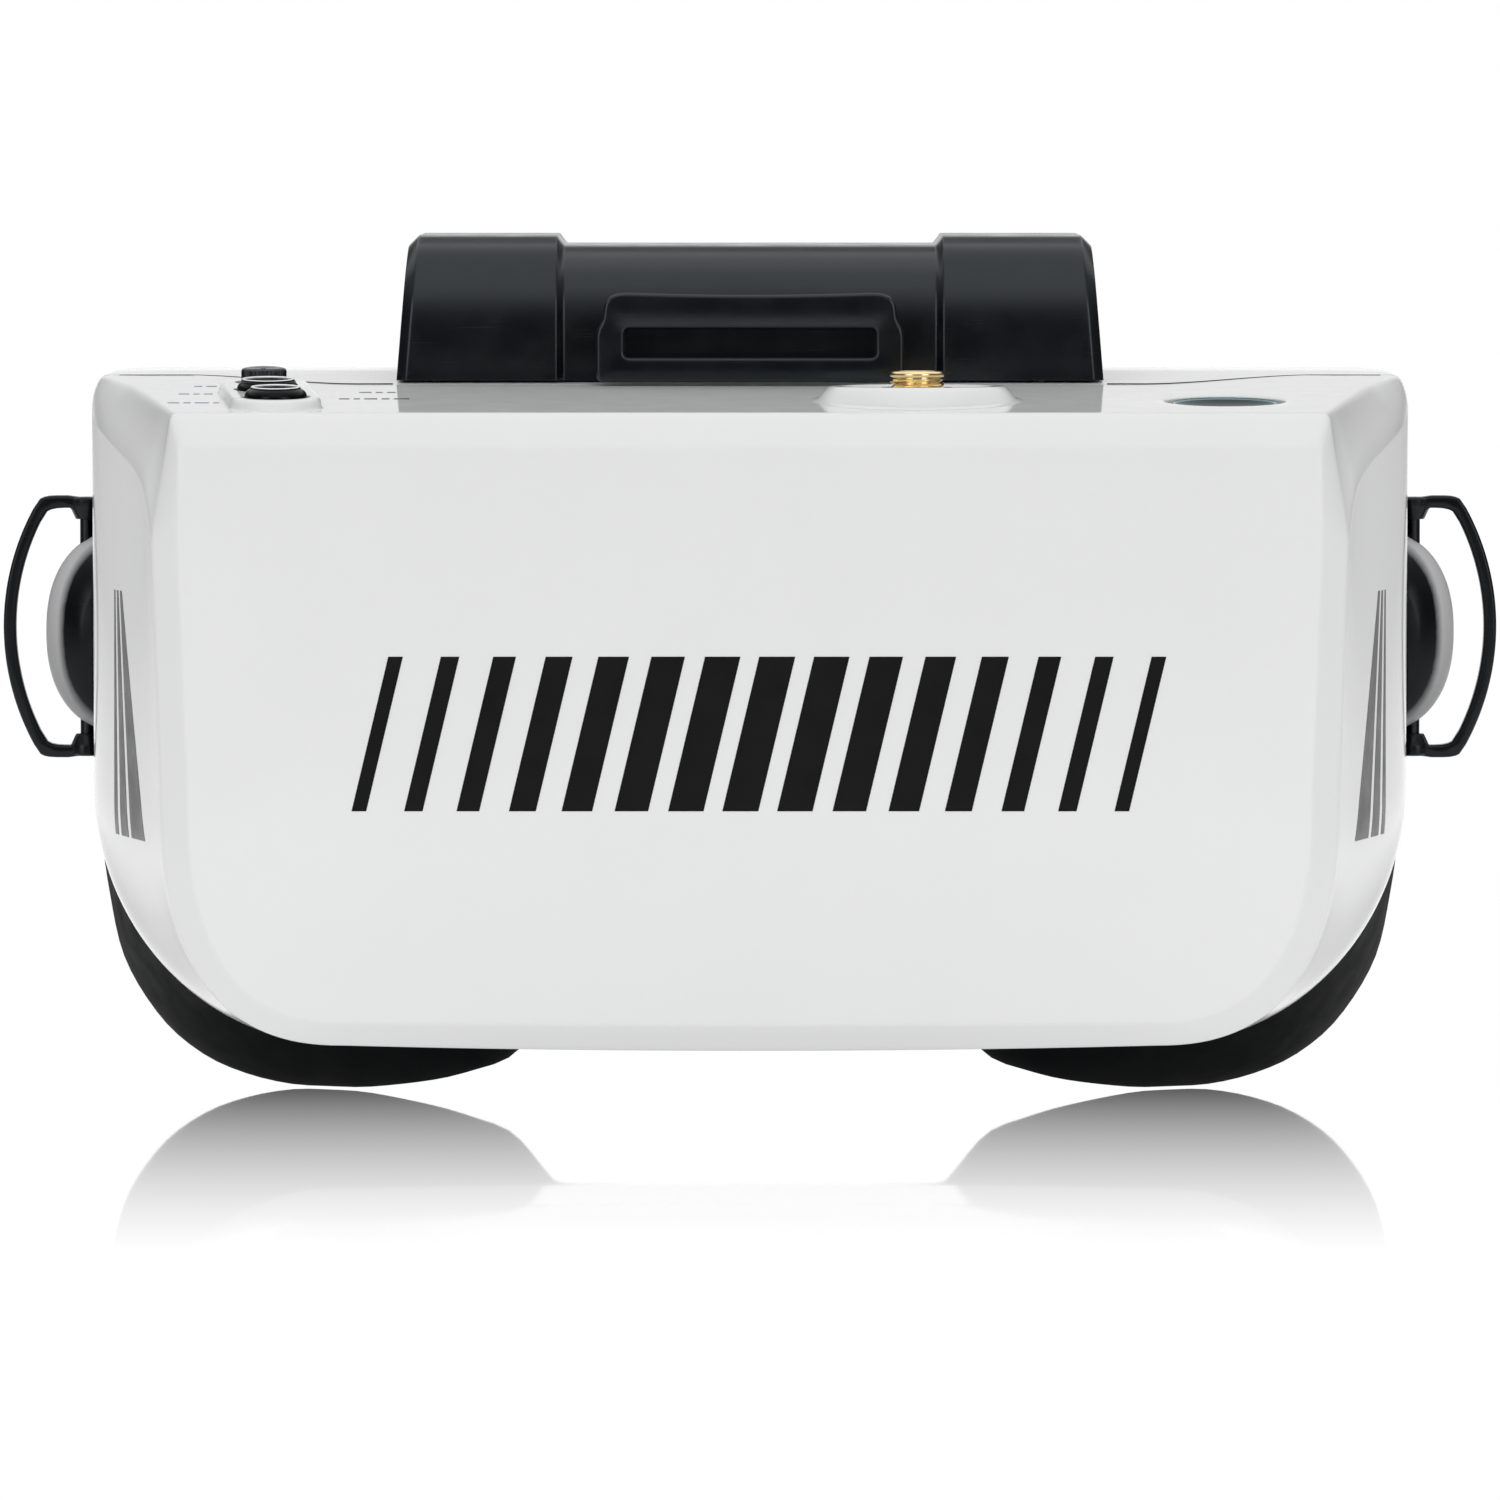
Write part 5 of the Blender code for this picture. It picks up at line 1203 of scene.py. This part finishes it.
def dished_button(label, place_on_top, ring, top):
    """Push cap: a wide skirt, a shoulder, a raised ring of radius ring and a dished top."""
    place, body = on_top(*place_on_top), f"{label}_button"
    cap = [(1.2, -3.1), (1.4, -2.95), (4.35, -2.95), (4.35, -2.4), (3.6, -2.4), (3.6, 1.2),
           (3.58, 1.45), (3.5, 1.7), (3.37, 1.9), (3.2, 2.05), (ring + 0.16, top - 0.28),
           (ring + 0.02, top - 0.2), (ring, top - 0.1), (ring - 0.06, top - 0.03),
           (ring - 0.16, top), (ring - 0.3, top - 0.04), (ring - 0.42, top - 0.16),
           (ring - 0.6, top - 0.3), (1.2, top - 0.48), (0.4, top - 0.52)]
    show_as(add(f"cap_{label}", turned(cap, 96, place), "button_gloss"), f"button_{label}", body)
    # painted highlight: a bright band on top of the raised ring, for the glint the glossy rim catches
    highlight_band = [(ring - 0.4, top - 0.16), (ring - 0.08, top - 0.12), (ring - 0.02, top - 0.02),
              (ring - 0.1, top + 0.05), (ring - 0.28, top + 0.05), (ring - 0.4, top - 0.04)]
    add_detail(f"cap_{label}_ring", turned(highlight_band, 96, place, closed=True), "painted_ring_highlight", body=body)


def dial():
    place, count = on_top(*DIAL), DIAL_RIBS * 6
    angles = [2 * math.pi * i / count for i in range(count)]
    rings = [placed_ring([r + ribs * 0.2 * (0.5 + 0.5 * math.cos(DIAL_RIBS * a)) ** 0.6
                          for a in angles], h, place) for h, r, ribs in DIAL_ROWS]
    show_as(add("dial_knob", loft(rings), "black_satin", smooth=35), "dial", "dial")
    mark = turned([(0.28, 2.72), (0.32, 2.98), (0.2, 3.04)], 20,
                  place @ Matrix.Translation((0, -1.55, 0)))
    add_detail("dial_mark", mark, "print_grey", body="dial")


def power_button():
    place, body = on_top(*POWER), "power_button"
    cap = add("power_cap", turned(POWER_CAP, 96, place), "button_teal", smooth=32)
    show_as(cap, "power_button", body)
    add_detail("power_ring", turned(POWER_RING, 96, place, closed=True), "ring_teal", body=body)


# ---------------------------------------------------------------- optics
# rounded rectangles: half width, low z, high z, corner radius, depth
HOOD_OUTSIDE = [(50.5, 16.6, 75.0, 3, 18.1), (54.8, 15.2, 76.6, 4, 66.0), (57.5, 14.2, 78.0, 4, 66.0),
                (57.5, 14.2, 78.0, 4, 71.5), (56.0, 15.6, 76.6, 3.5, 71.5),
                (56.0, 15.6, 76.6, 3.5, 67.5), (52.8, 17.4, 74.6, 3, 67.5)]
HOOD_FRONT = (49.0, 18.0, 73.6, 2.5, 18.1)
HOOD_STEPS = 22
LENS_EDGE = [(55.2, 16.4, 75.8, 3.2, 67.8), (55.6, 16.0, 76.2, 3.2, 68.2),
             (55.6, 16.0, 76.2, 3.2, 71.0), (55.3, 16.3, 75.9, 3.2, 71.3),
             (51.0, 20.4, 71.8, 9, 71.5)]
LENS_FRAME = [(57.1, 14.6, 77.6, 3.6, 71.8), (57.5, 14.2, 78.0, 4, 72.2), (57.5, 14.2, 78.0, 4, 73.1),
              (57.2, 14.5, 77.7, 3.7, 73.4), (52.4, 19.0, 73.2, 9, 73.4),
              (52.0, 19.4, 72.8, 9, 73.0), (52.0, 19.4, 72.8, 9, 71.8)]
DISPLAY = [(47.6, 19.6, 72.0, 0.6, 16.05), (47.6, 19.6, 72.0, 0.6, 16.22)]


def rect_loft(rows, closed=False):
    return loft([[(x, d, z + (z0 + z1) / 2) for x, z in rounded_rect(2 * half_x, z1 - z0, r)]
                 for half_x, z0, z1, r, d in rows], closed)


def optics():
    # the hood's inside narrows forwards in small steps
    steps = []
    for i in range(HOOD_STEPS):
        t = (i + 0.5) / HOOD_STEPS
        half_x, z0, z1, d = lerp(52.8, 49.0, t), 17.4 + 0.6 * t, 74.6 - 1.0 * t, lerp(66.5, 19.0, t)
        steps += [(half_x, z0, z1, 3, d), (half_x - 0.45, z0 + 0.45, z1 - 0.45, 2.6, d - 0.35)]
    hood = rect_loft(HOOD_OUTSIDE + steps + [HOOD_FRONT], closed=True)
    show_as(add("hood", hood, "black_matt", smooth=20), "light_hood")

    crown = []
    for i in range(1, 16):
        a = (1 - i / 16) * math.pi / 2
        k = math.sin(a)
        crown.append((51 * k, 46.1 - 25.7 * k, 46.1 + 25.7 * k, 9 * k, 71.5 + 4.6 * math.cos(a)))
    show_as(add("lens", rect_loft(LENS_EDGE + crown), "lens_acrylic", smooth=60), "eye_lens")
    show_as(add("frame_ring", rect_loft(LENS_FRAME, closed=True), "black_matt"), "lens_frame")
    add_detail("display_glass", rect_loft(DISPLAY), "display_active")


# ---------------------------------------------------------------- screws
# (radius, height): shank, then domed head
SCREW = [(0.45, -9.4), (0.75, -8.9), (0.75, -0.02), (1.8, 0.0), (1.98, 0.12), (2.0, 0.35),
         (1.9, 0.7), (1.6, 1.0), (1.1, 1.2), (0.5, 1.28)]


def screw(name, place):
    """Cross-slotted screw."""
    obj = add(name, turned(SCREW, 40, place), "screw_steel")
    points, faces = box(-0.26, 0.26, -1.25, 1.25, 0.55, 1.6)
    for angle in (0.4, 0.4 + math.pi / 2):
        turn = place @ Matrix.Rotation(angle, 4, "Z")
        cut(obj, ([tuple(turn @ Vector(p)) for p in points], faces))
    return bake(obj, 30)


def screws():
    for kind, x, heights, d in (("shell", SHELL_SCREW_X, SHELL_SCREW_Z, SHELL_POST_BACK + GAP),
                                ("plate", PLATE_SCREW_X, PLATE_SCREW_Z, PLATE_D + 2.3)):
        places = [(side * x, d, z) for _, side in SIDES for z in heights]
        for k, place in enumerate(places, 1):
            show_as(screw(f"screw_{kind}_{k}", along_depth(*place)), f"{kind}_screw_{k}")


# ---------------------------------------------------------------- floor
FLOOR_LIGHT = 1.04   # how strongly the lit floor shines on the goggles


def floor_white():
    """Lit white acrylic: mirrors what stands on it, most of all near it, and darkens under it."""
    material = bpy.data.materials.new("floor_white")
    material.use_nodes = True
    MATERIALS["floor_white"] = material
    graph = Graph(material.node_tree)
    graph.tree.nodes.remove(graph.bsdf)
    calc, remap = graph.calc, graph.remap
    geometry = graph.node("NewGeometry", {}).outputs
    place, incoming = graph.xyz(geometry["Position"]), graph.xyz(geometry["Incoming"])

    # mirror: only for rays from about the camera's direction, fading forwards and sideways
    ahead = remap(incoming["Y"], -0.90, -0.985)
    near = calc("POWER", remap(place["Y"], -0.21, 0.045), 1.25)
    central = remap(calc("ABSOLUTE", place["X"]), 0.12, 0.2, 1.0, 0.0)
    mirror = calc("MULTIPLY", calc("MULTIPLY", near, central), calc("MULTIPLY", ahead, 0.95))

    occlusion = graph.node("AmbientOcclusion", {"Distance": 0.09}, samples=12).outputs["AO"]
    shadow = calc("MAXIMUM", remap(occlusion, 0.2, 0.95, 0.45, 1.0), ahead)

    # light given off: dimmer far forward and to the sides, but full white to the camera
    lit = remap(place["Y"], -1.3, -0.5, 0.08, FLOOR_LIGHT)
    lit = calc("MULTIPLY", lit, remap(calc("ABSOLUTE", place["X"]), 0.2, 0.6, 1.0, 0.45))
    lit = calc("MAXIMUM", lit, graph.node("LightPath", {}).outputs["Is Camera Ray"])
    glow = graph.node("Emission", {"Color": (1, 1, 1), "Strength": calc("MULTIPLY", lit, shadow)})
    gloss = graph.node("BsdfGlossy", {"Color": (1, 1, 1), "Roughness": 0.03})
    mixed = graph.node("MixShader", {0: mirror, 1: glow.outputs[0], 2: gloss.outputs[0]})
    graph.feed(graph.tree.nodes["Material Output"], {"Surface": mixed.outputs[0]})


# ---------------------------------------------------------------- light
SIDE_BOX = 2.2             # soft box on each side of the camera
STRIP, STRIP_ENDS = 1.15, 0.5   # high strip above the camera: middle and ends
ZENITH = 1.2               # broad box overhead
REAR_SKY = 0.35            # middle of the high sky behind
WALL_HIGH = 0.8            # upper part of the white wall behind
DIM_FRONT, DIM_REAR = 0.05, 0.12   # dark surroundings


def studio_world():
    """Lights by direction: a wall behind, boxes in front and overhead, and dim surroundings."""
    world = bpy.data.worlds.new("studio")
    bpy.context.scene.world = world
    world.use_nodes = True
    graph = Graph(world.node_tree)
    calc, remap = graph.calc, graph.remap
    direction = graph.xyz(graph.node("TexCoord", {}).outputs["Generated"])
    height = direction["Z"]

    def level(rows):
        """Piecewise linear in the height of the direction, from (height, value) rows."""
        node = graph.node("ValToRGB", {0: height})
        elements = node.color_ramp.elements
        for i, (position, value) in enumerate(rows):
            element = elements[i] if i < 2 else elements.new(position)
            element.position = position
            element.color = (value, value, value, 1)
        return node.outputs[0]

    wide = calc("ABSOLUTE", direction["X"])
    behind = remap(direction["Y"], -0.12, 0.06)
    before = calc("SUBTRACT", 1.0, behind)
    turn = calc("ARCTAN2", wide, calc("MULTIPLY", direction["Y"], -1.0))
    boxes = calc("MULTIPLY", remap(turn, math.radians(18), math.radians(27)),
                 remap(turn, math.radians(42), math.radians(54), 1.0, 0.0),
                 remap(height, 0.35, 0.5, SIDE_BOX, 0.0))
    strip = calc("MULTIPLY", level([(0.16, 0.0), (0.32, 0.3), (0.52, 0.9), (0.7, 1.05), (0.85, 0.0)]),
                 before, remap(wide, 0.25, 0.45, STRIP, STRIP_ENDS))
    zenith = remap(height, 0.7, 0.85, 0.0, ZENITH)
    rear_sky = calc("MULTIPLY", level([(0.3, 0.0), (0.5, 1.0), (0.7, 1.0), (0.85, 0.0)]), behind,
                    remap(wide, 0.1, 0.28, REAR_SKY, 1.0))
    wall = calc("MULTIPLY",
                level([(0.0, 1.0), (0.1, 1.0), (0.15, WALL_HIGH), (0.3, WALL_HIGH), (0.5, 0.0)]),
                remap(wide, 0.12, 0.32, 1.0, 0.0), behind)
    dim_rear = calc("MULTIPLY", behind, remap(wide, 0.12, 0.32, 0.0, DIM_REAR))
    dim = calc("MULTIPLY", remap(height, 0.25, 0.45, 1.0, 0.0),
               calc("ADD", calc("MULTIPLY", before, DIM_FRONT), dim_rear))
    total = calc("ADD", boxes, strip, zenith, rear_sky, wall, dim)

    # the camera itself sees plain white
    seen = graph.node("LightPath", {}).outputs["Is Camera Ray"]
    total = calc("ADD", calc("MULTIPLY", total, calc("SUBTRACT", 1.0, seen)), seen)
    graph.feed(graph.tree.nodes["Background"], {"Strength": total, "Color": (1, 1, 1)})


# ---------------------------------------------------------------- camera
CAMERA_DISTANCE, CAMERA_HEIGHT, CAMERA_PITCH = 1.5, 0.120, 2.825   # m, m, degrees downwards


def add_camera():
    data = bpy.data.cameras.new("camera")
    data.sensor_width = 36.0
    data.lens = 316.9
    data.clip_end = 50.0
    camera = bpy.data.objects.new("camera", data)
    camera.location = (0.0, DEPTH_0 * MM - CAMERA_DISTANCE, CAMERA_HEIGHT)
    camera.rotation_euler = (math.radians(90 - CAMERA_PITCH), 0, 0)
    bpy.context.scene.collection.objects.link(camera)
    bpy.context.scene.camera = camera


# ---------------------------------------------------------------- build
front_shell()
rear_housing()
seam_shadow_beads()
front_prints()
side_prints()
top_prints()
battery_hump()
top_strap_loop()
face_plate()
hook_tape()
face_foam()
for label, side in SIDES:
    strap_loop(label, side)
antenna_socket()
antenna_nut()
dished_button("front", BUTTON_FRONT, ring=2.86, top=2.42)
dished_button("middle", BUTTON_MIDDLE, ring=3.06, top=2.48)
dial()
power_button()
optics()
screws()

floor_white()
add("floor", box(-4000, 4000, -3000, 5000, -10, -0.05), "floor_white", smooth=0)
studio_world()
add_camera()
bpy.context.scene.view_settings.view_transform = "Standard"
